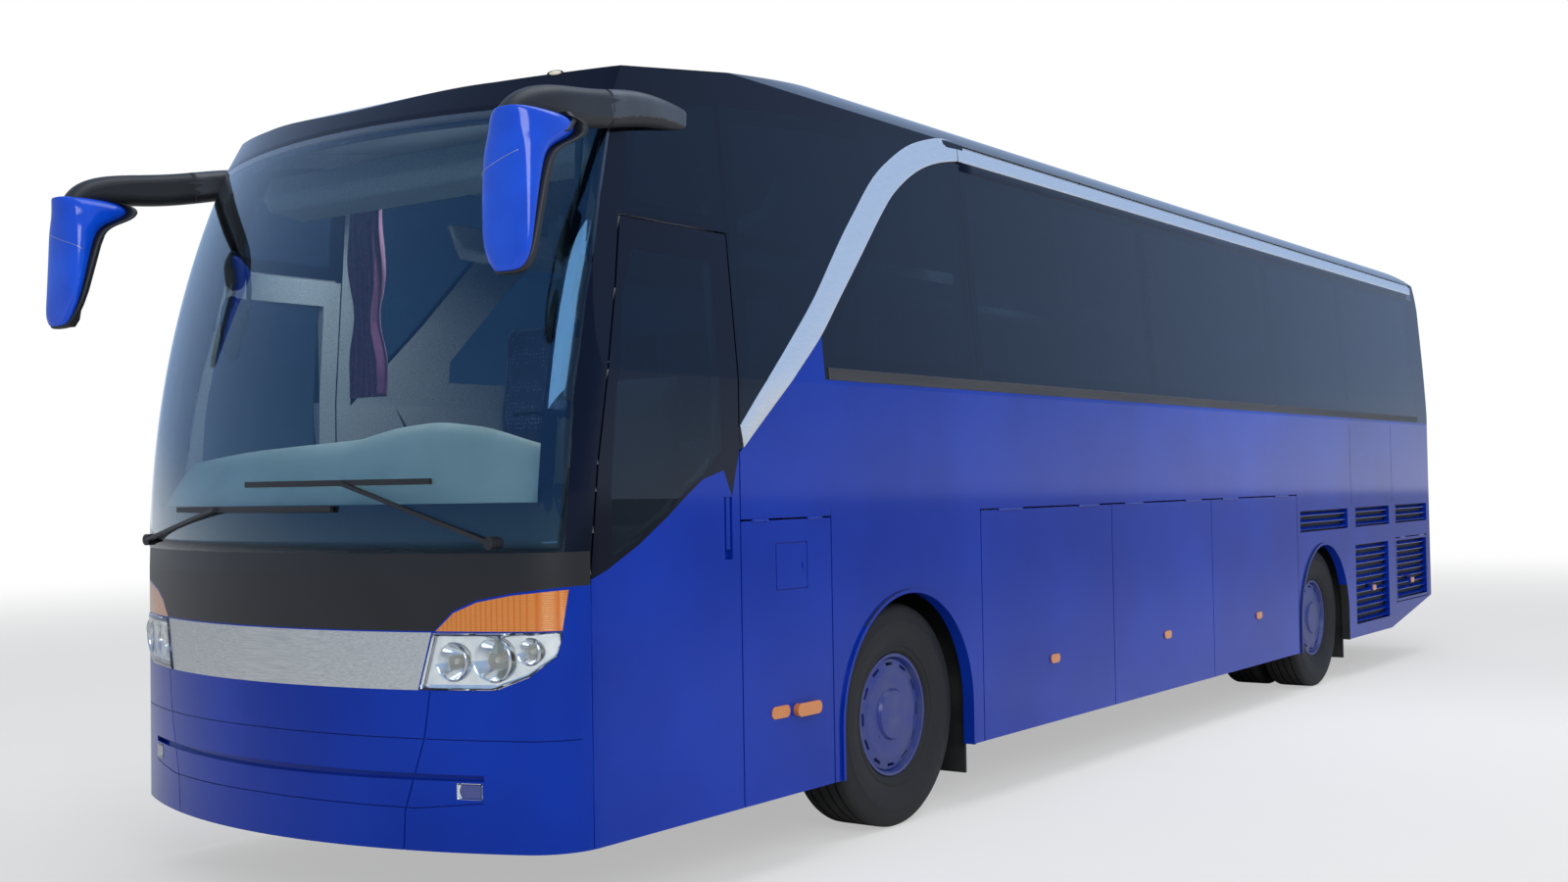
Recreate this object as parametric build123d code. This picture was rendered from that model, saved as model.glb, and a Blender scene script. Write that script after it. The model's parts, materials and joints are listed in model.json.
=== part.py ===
"""Two-axle high-deck touring coach, left-hand drive, 12.0 m long.

Lengths are millimetres. In this file x is measured forward from the front
axle, y to the left of the centre line and z up from the road; save() moves
every piece by SHIFT so that the stored frame sits under the middle of the
coach's box."""
from build123d import *
from math import atan2, cos, pi, sin, sqrt
import os

os.makedirs("parts", exist_ok=True)

# ---------------------------------------------------------------- main sizes
SHIFT = 3300.0            # front axle's x in the stored frame
WHEELBASE = 6080.0
REAR_AXLE = -WHEELBASE
HALF = 1275.0             # half of the 2.55 m legal width
SKIRT = 310.0             # lower edge of the body
SHOULDER = 2050.0         # the walls are upright up to here
CANT_Z, CANT_Y = 3340.0, 1160.0
ROOF_Z = 3560.0
BROW_X, BROW_Z = 2080.0, 3205.0           # where the brow over the screen ends
FAIRING_X, FAIRING_Z = 100.0, 3505.0      # where the sloping fairing ends
NOSE, REAR = 2655.0, -9300.0
NOSE_ROUND, NOSE_CORNER = 2600.0, 260.0
REAR_ROUND, REAR_CORNER = 9000.0, 140.0
SCREEN_FOOT, SCREEN_ROUND = 1300.0, 4100.0
NOSE_LEVELS = (SCREEN_FOOT, 1600.0, 1900.0, 2200.0, 2500.0, 2800.0, 3100.0)
WALL, SKIN = 50.0, 8.0
GAP = 8.0                 # shut line round every door and lid
SEAT = 0.3                # pieces that are bolted on stop this short
GROOVE_Z = 1470.0
DECK_Z, PLATFORM_Z, HOLD_Z = 1400.0, 1020.0, 400.0

TYRE_R, TYRE_W, RIM_R = 522.0, 298.0, 286.0
WHEEL_Y, TWIN_Y = 1060.0, 722.0
KINGPIN_Y = 930.0
ARCH_R = 575.0
PIN_PLAY = 0.05           # running clearance in the turning fits

LEAN = (HALF - CANT_Y) / (CANT_Z - SHOULDER)


def half_width(z):
    return HALF if z <= SHOULDER else HALF - (z - SHOULDER) * LEAN


def nose_x(z):
    if z <= SCREEN_FOOT:
        return NOSE
    return NOSE - (SCREEN_ROUND - sqrt(SCREEN_ROUND ** 2 - (z - SCREEN_FOOT) ** 2))


# ------------------------------------------------------------ small helpers
def box(x0, x1, y0, y1, z0, z1):
    return Pos((x0 + x1) / 2, (y0 + y1) / 2, (z0 + z1) / 2) * Box(
        abs(x1 - x0), abs(y1 - y0), abs(z1 - z0))


def side_prism(points, y0, y1):
    """A side-view outline (x, z) carried across from y0 to y1."""
    face = Face(Wire(Polyline([(x, y0, z) for x, z in points], close=True).edges()))
    return extrude(face, y1 - y0, dir=(0, 1, 0))


def front_prism(points, x0, x1):
    """A front-view outline (y, z) carried along from x0 to x1."""
    face = Face(Wire(Polyline([(x0, y, z) for y, z in points], close=True).edges()))
    return extrude(face, x1 - x0, dir=(1, 0, 0))


def plan_prism(points, z0, z1):
    face = Face(Wire(Polyline([(x, y, z0) for x, y in points], close=True).edges()))
    return extrude(face, z1 - z0, dir=(0, 0, 1))


def rod(axis, at, length, r):
    """Cylinder centred on a point, along X, Y or Z."""
    turn = {"x": Rot(0, 90, 0), "y": Rot(90, 0, 0), "z": Rot(0, 0, 0)}[axis]
    return Pos(*at) * turn * Cylinder(r, length)


def bar(a, b, width, height):
    """Straight bar of rectangular section between two points."""
    a, b = Vector(*a), Vector(*b)
    d = b - a
    up = Vector(0, 0, 1) if abs(d.normalized().Z) < 0.95 else Vector(1, 0, 0)
    plane = Plane(origin=a, x_dir=up.cross(d.normalized()), z_dir=d)
    return extrude(plane * Rectangle(width, height), d.length)


def mirrored(shape):
    return shape + mirror(shape, about=Plane.XZ)


def other_side(shape):
    return mirror(shape, about=Plane.XZ)


def pack(*shapes):
    solids = []
    for s in shapes:
        solids += list(s.solids())
    return Compound(children=solids)


def save(name, shape):
    solids = [Pos(SHIFT, 0, 0) * s for s in shape.solids() if s.volume > 50]
    out = Compound(children=[s if s.is_valid else s.fix() for s in solids])
    export_step(out, f"parts/{name}.step")
    print(name, len(solids), flush=True)


# ---------------------------------------------------------------- the hull
def plan_outline(z, t):
    """Plan section of the body at height z, t inside the outer surface."""
    w = HALF - t
    n, r, c = nose_x(z) - t, NOSE_ROUND - t, NOSE_CORNER - t
    cx = n - r
    fx = cx + sqrt((r - c) ** 2 - (w - c) ** 2)
    k = r / (r - c)
    px, py = cx + (fx - cx) * k, (w - c) * k
    m = (atan2(w - c, fx - cx) + pi / 2) / 2
    mx, my = fx + c * cos(m), (w - c) + c * sin(m)
    b, q, s = REAR + t, REAR_CORNER - t, REAR_ROUND - t
    cb = b + s
    bx = cb - sqrt((s - q) ** 2 - (w - q) ** 2)
    k = s / (s - q)
    qx, qy = cb - (cb - bx) * k, (w - q) * k
    m = (atan2(w - q, bx - cb) + pi / 2) / 2
    nx, ny = bx + q * cos(m), (w - q) + q * sin(m)
    P = lambda x, y: (x, y, z)
    return Face(Wire([
        ThreePointArc(P(px, -py), P(n, 0), P(px, py)),
        ThreePointArc(P(px, py), P(mx, my), P(fx, w)),
        Line(P(fx, w), P(bx, w)),
        ThreePointArc(P(bx, w), P(nx, ny), P(qx, qy)),
        ThreePointArc(P(qx, qy), P(b, 0), P(qx, -qy)),
        ThreePointArc(P(qx, -qy), P(nx, -ny), P(bx, -w)),
        Line(P(bx, -w), P(fx, -w)),
        ThreePointArc(P(fx, -w), P(mx, -my), P(px, -py))]))


def cross_section(t):
    z0 = SKIRT - 2 * t - 10
    with BuildSketch(Plane.YZ) as sk:
        with BuildLine():
            Polyline((0, z0), (HALF - t, z0), (HALF - t, SHOULDER), (CANT_Y - t, CANT_Z))
            ThreePointArc((CANT_Y - t, CANT_Z), (1000 - t, 3452 - t * .85), (800 - t, 3520 - t * .95))
            ThreePointArc((800 - t, 3520 - t * .95), (420, 3548 - t), (0, ROOF_Z - t))
            mirror(about=Plane.YZ)
        make_face()
    return sk.sketch


def side_profile(t):
    """Outline over the centre line: a tight brow above the screen, a long
    sloping fairing up to the level roof, and the rounded tail."""
    level = ROOF_Z + 20 - t
    with BuildSketch(Plane.XZ) as sk:
        with BuildLine():
            Polyline((3000, 200), (3000, 2900), (2420 - t, 2900), (2270 - t, 3100 - t * .6))
            ThreePointArc((2270 - t, 3100 - t * .6), (2194 - t * .8, 3172 - t * .8), (BROW_X, BROW_Z - t))
            Polyline((BROW_X, BROW_Z - t), (FAIRING_X, FAIRING_Z - t))
            ThreePointArc((FAIRING_X, FAIRING_Z - t), (-250, 3551 - t), (-620, level))
            Polyline((-620, level), (-8600, level))
            ThreePointArc((-8600, level), (-9000 + t * .6, 3480 - t * .8), (-9200 + t, 3200 - t * .6))
            Polyline((-9200 + t, 3200 - t * .6), (-9400 + t, 2300), (-9600, 2300), (-9600, 200), (3000, 200))
        make_face()
    return sk.sketch


def hull(t):
    z0, z1 = SKIRT - t * 2, 3700 - t
    core = extrude(plan_outline(z0, t), SCREEN_FOOT - z0, dir=(0, 0, 1))
    core += loft([plan_outline(z, t) for z in (*NOSE_LEVELS, z1)], ruled=True)
    core = core & extrude(cross_section(t), 20000, both=True)
    return core & extrude(side_profile(t), 3000, both=True)


outer, thin, inner = hull(0), hull(SKIN), hull(WALL)
clear = hull(-SEAT)
shell = outer - inner
skin = outer - thin
print("hull done", flush=True)

# ------------------------------------------------- side-view outlines (x, z)
FRONT_SHUT = 2200.0
SCREEN_EDGE = [(2296, 1385), (2278, 1607), (2240, 1960), (2164, 2323), (2056, 2702), (1969, 2977),
               (1925, 3090)]
ROOF_EDGE = [(1925, 3090), (1630, 3156), (1300, 3205), (570, 3276), (150, 3300), (-370, 3326), (-760, CANT_Z)]
ARCH_OUTER = [(-547, 3340), (-268, 3266), (-41, 3151), (133, 3029), (311, 2853), (460, 2697),
              (699, 2427), (919, 2216), (1126, 2025), (1302, 1846), (1487, 1683), (1540, 1640)]
ARCH_INNER = [(-782, 3243), (-522, 3211), (-316, 3142), (-110, 3027), (46, 2898), (305, 2633),
              (502, 2432), (667, 2264), (863, 2100), (1094, 1912), (1271, 1765), (1406, 1675), (1540, 1640)]
SWOOSH = [(2200, 1280), (2110, 1312), (1930, 1398), (1760, 1499), (1644, 1576), (1540, 1640)]
STRIP_Z = (2070.0, 2125.0)
PILLAR_REAR = -8800.0
DOOR_REAR = 1300.0
DOOR_TOP = 2640.0
BLUE_TOP = [(-8800, STRIP_Z[0]), (667, STRIP_Z[0])] + ARCH_INNER[7:-1]

left = shell & box(-9150, FRONT_SHUT, 900, 1400, 100, CANT_Z)
left_skin = skin & box(-9150, FRONT_SHUT, 900, 1400, 100, 3400)

# wheel arches through both walls
arch_cut = None
for x, r in ((0, ARCH_R), (REAR_AXLE, 560)):
    hole = rod("y", (x, 0, TYRE_R), 2800, r) + box(x - r, x + r, -1400, 1400, 0, TYRE_R)
    arch_cut = hole if arch_cut is None else arch_cut + hole
# the underside rises behind the last axle
DEPARTURE = side_prism([(-7850, 0), (-7850, 311), (-9400, 560), (-9400, 0)], -1400, 1400)

# blue lower wall and black window band
blue_region = side_prism([(-9150, 200), (-9150, STRIP_Z[0])] + BLUE_TOP[1:] + SWOOSH[::-1] + [(2200, 200)],
                         800, 1500)
roof_region = side_prism([(-9400, CANT_Z)] + ROOF_EDGE[::-1] + [(2700, 3090), (2700, 3800), (-9400, 3800)],
                         -1500, 1500)
lower_left = (left & blue_region) - arch_cut - DEPARTURE
PORTAL = 1296.0           # the band behind, the screen's portal frame ahead
band_zone = (box(PILLAR_REAR, PORTAL, 1100, 1400, 1500, 3400) - blue_region) - roof_region
band_in = (thin - inner) & band_zone
band_out = skin & band_zone

# doors and lids in the walls: name, x0, x1, z0, z1
LUGGAGE = [(-700, -2260), (-2260, -3800), (-3800, -5480)]
SERVICE = (645, 1300)
GRILLES_UP = [(-5530, -6710), (-6870, -7850), (-8000, -9030)]
GRILLES_LOW = [(-6850, -7810), (-8000, -9000)]
GRILLE_Z = {"up": (1170, 1370), "low": (390, 1070)}
MID_DOOR = (-5330, -4480)
MID_TOP = 2600.0
FLAP_LOW = SKIRT


def window(x0, x1, z0, z1):
    return box(x0, x1, 900, 1500, z0, z1)


# ---- front doors: same outline on both sides
DOOR_EDGE = [(2196, 200), (2196, 1300), (2150, 1700), (2081, 2080), (2011, 2360), (1953, DOOR_TOP)]
door_region = side_prism(DOOR_EDGE + [(DOOR_REAR + 4, DOOR_TOP), (DOOR_REAR + 4, 200)], 900, 1500)
door_hole = side_prism([(x + GAP + 1, z) for x, z in DOOR_EDGE[:-1]] +
                       [(DOOR_EDGE[-1][0] + GAP + 1, DOOR_TOP + GAP), (DOOR_REAR - 4, DOOR_TOP + GAP),
                        (DOOR_REAR - 4, 200)], 900, 1500)
door_solid = left & door_region
door_low = door_solid & blue_region
door_high = door_solid - blue_region
DOOR_PANE = [(1420, 1753), (1537, 1660), (1644, 1596), (1760, 1519), (1930, 1418), (2080, 1340),
             (2085, 1605), (2045, 1966), (1980, 2336), (1905, 2520), (1420, 2520)]
pane_cut = side_prism(DOOR_PANE, 900, 1500)
door_glass = (left_skin & pane_cut)
door_high = door_high - pane_cut

# right-hand front door: glazed nearly to the bottom
r_door = door_solid
RD_PANES = [[(1400, 620), (2100, 620), (2100, 1390), (1400, 1390)],
            [(1400, 1490), (2085, 1490), (2045, 1966), (1980, 2336), (1905, 2520), (1400, 2520)]]
rd_glass = None
for p in RD_PANES:
    cut = side_prism(p, 900, 1500)
    g = left_skin & cut
    rd_glass = g if rd_glass is None else pack(rd_glass, g)
    r_door = r_door - cut

# middle door
md_x0, md_x1 = MID_DOOR
mid_region = box(md_x0, md_x1, 900, 1500, 200, MID_TOP)
mid_hole = box(md_x0 - GAP, md_x1 + GAP, 900, 1500, 200, MID_TOP + GAP)
mid_door = left & mid_region
md_glass = None
for z0, z1 in ((760, 1390), (1490, 2040), (2110, 2500)):
    cut = box(md_x0 + 110, md_x1 - 110, 900, 1500, z0, z1)
    g = left_skin & cut
    md_glass = g if md_glass is None else pack(md_glass, g)
    mid_door = mid_door - cut

# ---- lids: hung along the groove at their top edges
def lid(x0, x1, z0=FLAP_LOW, z1=GROOVE_Z - 4):
    return (left & box(x1 + GAP / 2, x0 - GAP / 2, 900, 1500, z0 - 200, z1)) - arch_cut - DEPARTURE


def lid_hole(x0, x1, z1=GROOVE_Z + 4):
    return box(x1 - GAP / 2, x0 + GAP / 2, 900, 1500, 100, z1)


luggage = [lid(a, b) for a, b in LUGGAGE]
service = lid(SERVICE[1], SERVICE[0])

# ---- hinge barrels: a slim bar on the hinge axis, welded to the lid's top edge
BARREL_R = 5.7


def barrels(x0, x1, y, z):
    """Two barrels, each a sixth of the lid's length, in from its ends."""
    length = abs(x1 - x0)
    mid = (x0 + x1) / 2
    return [rod("x", (mid + s * length * 0.3, y, z), length / 6, BARREL_R) for s in (-1, 1)]


def hung(leaf, x0, x1, y, z):
    for b in barrels(x0, x1, y, z):
        leaf = leaf + b
    return leaf


HINGE_Y, LUGGAGE_HINGE_Z, GRILLE_HINGE_Z = 1277.0, 1468.0, 1064.0
luggage = [hung(s, a, b, HINGE_Y, LUGGAGE_HINGE_Z) for s, (a, b) in zip(luggage, LUGGAGE)]
service = hung(service, *SERVICE, HINGE_Y, LUGGAGE_HINGE_Z)

# ---- louvred grilles
def louvres(x0, x1, z0, z1, pitch, y=HALF):
    """A frame with sloping blades, set in an opening of the wall."""
    xa, xb = min(x0, x1), max(x0, x1)
    frame = box(xa, xb, y - 45, y, z0, z1) - box(xa + 22, xb - 22, y - 60, y + 10, z0 + 22, z1 - 22)
    n = int((z1 - z0 - 44) / pitch)
    for i in range(n):
        z = z0 + 22 + (i + 0.5) * (z1 - z0 - 44) / n
        blade = Pos((xa + xb) / 2, y - 20, z) * Rot(-35, 0, 0) * Box(xb - xa - 43, 34, 7)
        frame += blade
    return frame


up_grilles = [louvres(a, b, *GRILLE_Z["up"], 42) for a, b in GRILLES_UP]
up_hole = [window(b, a, *GRILLE_Z["up"]) for a, b in GRILLES_UP]
(fixed_x0, fixed_x1), (lid_x0, lid_x1) = GRILLES_LOW
LID_FOOT, LID_TOP = 520, 1070
fixed_low = louvres(fixed_x0, fixed_x1, *GRILLE_Z["low"], 54)
fixed_low_hole = window(fixed_x1, fixed_x0, *GRILLE_Z["low"])
lid_low = louvres(lid_x0 - GAP, lid_x1 + GAP, LID_FOOT, LID_TOP - GAP, 54)
lid_low = hung(lid_low, lid_x0, lid_x1, HINGE_Y, GRILLE_HINGE_Z)
lid_low_hole = window(lid_x1, lid_x0, LID_FOOT - GAP, LID_TOP)

# rolled lips round the arches
for x, r in ((0, ARCH_R), (REAR_AXLE, 560)):
    lip = rod("y", (x, HALF - 8, TYRE_R), 40, r + 16) - rod("y", (x, HALF - 8, TYRE_R), 60, r)
    lip = lip & box(x - 700, x + 700, HALF - WALL, HALF + 20, TYRE_R, 1500)
    for side in (-1, 1):
        lip += box(x + side * r, x + side * (r + 16), HALF - 28, HALF + 12, SKIRT, TYRE_R)
    lower_left = lower_left + lip
wall_left = lower_left - door_hole
for a, b in LUGGAGE:
    wall_left = wall_left - lid_hole(a, b)
wall_left = wall_left - lid_hole(SERVICE[1] - 4, SERVICE[0])
for h in up_hole + [fixed_low_hole, lid_low_hole]:
    wall_left = wall_left - h

wall_right = lower_left - door_hole - mid_hole
for a, b in LUGGAGE[:2]:
    wall_right = wall_right - lid_hole(a, b)
for h in up_hole + [fixed_low_hole, lid_low_hole]:
    wall_right = wall_right - h
wall_right = other_side(wall_right)
save("side_wall_left", wall_left)
save("side_wall_right", wall_right)
print("walls", flush=True)

# ---- window bands and panes
PANES = [(-724, -2940), (-2956, -5143), (-5159, -6799), (-6815, -8792)]
pane_cuts, open_cuts = [], []
for a, b in PANES:
    pane_cuts.append(window(b, a, STRIP_Z[1], 3200))
    open_cuts.append(window(b + 60, a - 60, STRIP_Z[1] + 50, 3150))
# pane inside the arch
under = [(-716, STRIP_Z[1]), (667, STRIP_Z[1])] + list(reversed(ARCH_INNER[1:8])) + [(-716, 3200)]
pane_cuts.append(side_prism(under, 900, 1500))
open_cuts.append(side_prism([(-640, 2180), (560, 2180), (560, 2290), (200, 2660), (-200, 3020), (-640, 3120)],
                            900, 1500))
# pane ahead of the arch, up to the quarter pane over the door
ahead = [(-400, 3305)] + ARCH_OUTER[1:-3] + [(1280, 1868), (1280, 3185), (570, 3256), (150, 3285)]
pane_cuts.append(side_prism(ahead, 900, 1500))
open_cuts.append(side_prism([(120, 3200), (420, 2830), (760, 2470), (1210, 2040), (1210, 3120), (570, 3190)],
                            900, 1500))
quarter = [(1300, 2665), (1935, 2665), (1880, 2952), (1850, 3085), (1630, 3130), (1300, 3180)]
pane_cuts.append(side_prism(quarter, 900, 1500))
open_cuts.append(side_prism([(1350, 2710), (1880, 2710), (1830, 2952), (1800, 3050), (1630, 3080),
                             (1350, 3120)], 900, 1500))
arch_prism = side_prism(ARCH_OUTER + list(reversed(ARCH_INNER[:-1])), 900, 1500)
rail_prism = box(-9050, -782, 900, 1500, 3200, CANT_Z) + side_prism(
    [(-782, 3200), (-782, CANT_Z), (-547, CANT_Z), (-522, 3211)], 900, 1500)
rail_box = box(-9050, -790, 900, 1500, 3200, CANT_Z)
silver = ((left_skin & arch_prism) & box(-9600, DOOR_REAR - 4, 900, 1500, 0, 3340)) - roof_region - rail_box
silver_tip = (left_skin & arch_prism) & box(DOOR_REAR + 4, 2200, 900, 1500, 0, 3340)
rail = left_skin & rail_box
glass = None
for p in pane_cuts[:-1]:
    g = (band_out & p) - arch_prism - rail_box
    glass = g if glass is None else pack(glass, g)
quarter_glass = (left_skin & pane_cuts[-1]) - arch_prism
for p in open_cuts[:-1]:
    band_in = band_in - p
for p in pane_cuts[:-1]:
    band_out = band_out - p
band_out = band_out - arch_prism - rail_box
band_l = band_in + band_out
band_r = band_l - mid_hole
glass_r = glass - mid_hole
save("window_bands", pack(band_l, other_side(band_r)))
save("side_glass", pack(glass, quarter_glass, other_side(glass_r), other_side(quarter_glass)))
save("silver_arches", pack(silver, rail, other_side(silver), other_side(rail)))
print("bands", flush=True)

# ---- doors and lids
DOOR_HINGE = (2194.0, 1272.0)
HANDLE = dict(x=1380.0, z0=1316.0, z1=1568.0)
for z in (560, 1120):
    door_low = door_low + rod("z", (*DOOR_HINGE, z), 150, BARREL_R)
pocket = box(HANDLE["x"] - 26, HANDLE["x"] + 26, HALF - 22, HALF + 1, HANDLE["z0"], HANDLE["z1"])
door_low = door_low - pocket
door_low = door_low + box(HANDLE["x"] - 12, HANDLE["x"] + 12, HALF - 12, HALF - 2,
                          HANDLE["z0"] + 40, HANDLE["z1"] - 1)
door_low = door_low + rod("y", (HANDLE["x"], HALF - 14, HANDLE["z1"] - 20), 24, 13)
save("driver_door", pack(door_low, door_high - silver_tip, door_glass, silver_tip))
LAMP_Z = 650.0


def side_lamp(x, z, length, height, proud):
    """Oblong lens with rounded ends, let 4 mm into the panel."""
    face = Plane(origin=(x, HALF - 4, z), x_dir=(1, 0, 0), z_dir=(0, 1, 0)) * SlotOverall(length, height)
    return extrude(face, 4 + proud)


MARKERS = [-1490.0, -3030.0, -4630.0]
for i, (leaf, x) in enumerate(zip(luggage, MARKERS)):
    lens = side_lamp(x, LAMP_Z, 105, 48, 9)
    leaf = pack(leaf - lens, lens)
    save(f"luggage_flap_left_{i + 1}", leaf)
    if i < 2:
        save(f"luggage_flap_right_{i + 1}", other_side(leaf))
# the service flap carries a turn lamp, a reflector and the small filler lid
turn = side_lamp(860, 660, 180, 56, 24)
reflector = side_lamp(1045, 665, 130, 52, 5)
FILLER = (830.0, 1060.0, 1170.0, 1370.0)
fx0, fx1, fz0, fz1 = FILLER
seam = box(fx0, fx1, HALF - 6, HALF + 1, fz0, fz1)
seam = seam - box(fx0 + 5, fx1 - 5, HALF - 10, HALF + 2, fz0 + 5, fz1 - 5)
service = service - seam + rod("y", (fx0 + 26, HALF, (fz0 + fz1) / 2), 8, 14)
save("service_flap_left", pack(service - turn - reflector, turn, reflector))
reflectors = [side_lamp(x, 680, 95, 44, 6) for x in (-7350, -8490)]
pads = [box(x - 52, x + 52, HALF - 40, HALF - 4, 655, 705) for x in (-7350, -8490)]
fixed_low = pack((fixed_low + pads[0]) - reflectors[0], reflectors[0])
lid_low = pack((lid_low + pads[1]) - reflectors[1], reflectors[1])
save("side_grilles", mirrored(pack(*up_grilles, fixed_low)))
save("grille_lid_left", lid_low)
save("grille_lid_right", other_side(lid_low))

# ---- roof
roof = shell & roof_region
HATCHES = [(-1900, "front"), (-6300, "rear")]
for x, _ in HATCHES:
    roof = roof - box(x - 380, x + 380, -380, 380, 3300, 3700)
save("roof", roof)
for x, name in HATCHES:
    lid_top = (shell & box(x - 372, x + 372, -372, 372, 3300, 3700))
    lid_top = lid_top + rod("y", (x + 374, 0, 3562), 180, BARREL_R)
    save(f"roof_hatch_{name}", lid_top)
print("roof", flush=True)

# ---- rear wall, window and lid
rear_zone = shell & (box(-9600, -9150, -1400, 1400, 100, 2200) +
                     box(-9600, PILLAR_REAR, -1400, 1400, STRIP_Z[0], CANT_Z))
rear_zone = rear_zone - DEPARTURE
LID = dict(y=930, z0=760, z1=1760)
WINDOW = dict(y=860, z0=2200, z1=3050)
lid_hole_r = box(-9600, -9000, -LID["y"], LID["y"], LID["z0"], LID["z1"])
lid_rear = shell & box(-9600, -9150, -LID["y"] + GAP, LID["y"] - GAP, LID["z0"] + GAP, LID["z1"] - GAP)
for y in (-170, 170):
    lid_rear = lid_rear + rod("y", (REAR - 2, y, LID["z1"] - 6), 110, BARREL_R)
rear_pane = skin & box(-9600, -9000, -WINDOW["y"], WINDOW["y"], WINDOW["z0"], WINDOW["z1"])
tail = None
for y in (-1080, 1080):
    for z in (930, 1100, 1270):
        c = skin & rod("x", (-9250, y, z), 400, 68)
        tail = c if tail is None else pack(tail, c)
pane_hole = box(-9600, -9000, -WINDOW["y"] + 50, WINDOW["y"] - 50, WINDOW["z0"] + 50, WINDOW["z1"] - 50)
rear_wall = rear_zone - lid_hole_r - pane_hole - rear_pane - tail
rear_wall = rear_wall - mirrored(rail_box)
save("rear_wall", rear_wall)
save("rear_window", rear_pane)
save("engine_lid", lid_rear)
save("tail_lamps", tail)
print("rear", flush=True)

# ---- front end
front = shell & box(FRONT_SHUT, 2900, -1400, 1400, 100, 3340)
HEADLAMP = [(800, 1099), (1232, 1099), (1220, 1010), (1145, 940), (1030, 892), (745, 890)]
INDICATOR = [(812, 1104), (880, 1170), (965, 1208), (1085, 1232), (1245, 1250), (1232, 1104)]
FACE = [(0, 1385), (1290, 1385), (1290, 1262), (1258, 1262), (1085, 1240), (965, 1216), (880, 1178),
        (806, 1104), (0, 1104)]
STRIP = [(0, 1099), (795, 1099), (740, 890), (0, 890)]


def pair(points, x0=2100, x1=2800):
    return front_prism(points, x0, x1) + front_prism([(-y, z) for y, z in points], x0, x1)


def whole(points, x0=2100, x1=2800):
    return front_prism(points + [(-y, z) for y, z in reversed(points) if y > 0], x0, x1)


head_cut, ind_cut = pair(HEADLAMP), pair(INDICATOR)
face_cut, strip_cut = whole(FACE), whole(STRIP)
# each headlamp is a clear lens over a block with a bowl for every lamp: y, z, radius
BOWLS = [(860, 995, 62), (985, 1005, 68), (1110, 1030, 52)]
BOWL_DEPTH = 560
lamp_block = (front - skin) & head_cut
for y, z, r in BOWLS:
    bowl = Rot(0, -90, 0) * Cone(r * 0.35, r * 2.2, BOWL_DEPTH, align=(Align.CENTER, Align.CENTER, Align.MIN))
    for side in (-1, 1):
        lamp_block = lamp_block - Pos(2700, side * y, z) * bowl
head_lens = skin & box(FRONT_SHUT, 2900, -1400, 1400, 100, 1300) & head_cut
indicators = front & ind_cut
face = front & face_cut
strip = front & strip_cut
low_front = front & box(2000, 2900, -1400, 1400, 100, 1385)
bumper = low_front - head_cut - ind_cut - face_cut - strip_cut
fog_cut = pair([(885, 500), (980, 500), (980, 560), (885, 560)])
fogs = front & fog_cut & skin
SEAM = [(790, 886), (767, 718), (687, 453), (679, 300), (673, 300), (681, 453), (761, 718), (784, 886)]
SLOT = [(0, 592), (985, 588), (985, 566), (0, 562)]
CREASES = [[(0, 720), (1262, 714), (1262, 710), (0, 716)],
           [(0, 470), (730, 466), (985, 492), (985, 488), (730, 462), (0, 466)]]
deep = front & (outer - hull(26))
bumper = bumper - fogs - (skin & pair(SEAM)) - (deep & whole(SLOT))
for c in CREASES:
    bumper = bumper - (skin & whole(c))
save("front_bumper", bumper)
save("front_face", face)
save("front_strip", strip)
save("headlamps", pack(head_lens, lamp_block, fogs))
print("front", flush=True)

# windscreen and its portal frame: sill, pillars, header and the bars over the doors
SCREEN_OPEN = [(2235, 1440), (2215, 1607), (2175, 1960), (2095, 2323), (1990, 2702), (1915, 2960),
               (1880, 3030), (2900, 3030), (2900, 1440)]
screen_region = side_prism(SCREEN_EDGE[:-1] + [(1925, 3078), (2900, 3078), (2900, 1385)], -1500, 1500)
screen_hole = side_prism(SCREEN_OPEN, -1165, 1165)
portal_zone = box(PORTAL, 2900, -1400, 1400, 1270, 3340) - box(FRONT_SHUT, 2900, -1400, 1400, 1200, 1385)
portal_zone = (portal_zone & box(1000, 3000, 0, 1500, 1000, 3500)) - roof_region - blue_region - door_hole
portal_in = ((thin - inner) & portal_zone) - screen_hole - open_cuts[-1]
portal_out = (skin & portal_zone) - screen_region - pane_cuts[-1]
screen = skin & screen_region
save("windscreen", screen)
save("screen_frame", mirrored(portal_in + portal_out))
print("screen", flush=True)

# ------------------------------------------------------------ under the body
RAIL_Y, RAIL_W, RAIL_Z0, RAIL_Z1 = 430.0, 80.0, 640.0, 800.0
FRONT_RAIL = (-740.0, 2330.0)
REAR_RAIL = (-9080.0, -5490.0)


def rail_bar(x0, x1):
    return mirrored(box(x0, x1, RAIL_Y - RAIL_W / 2, RAIL_Y + RAIL_W / 2, RAIL_Z0, RAIL_Z1))


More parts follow.
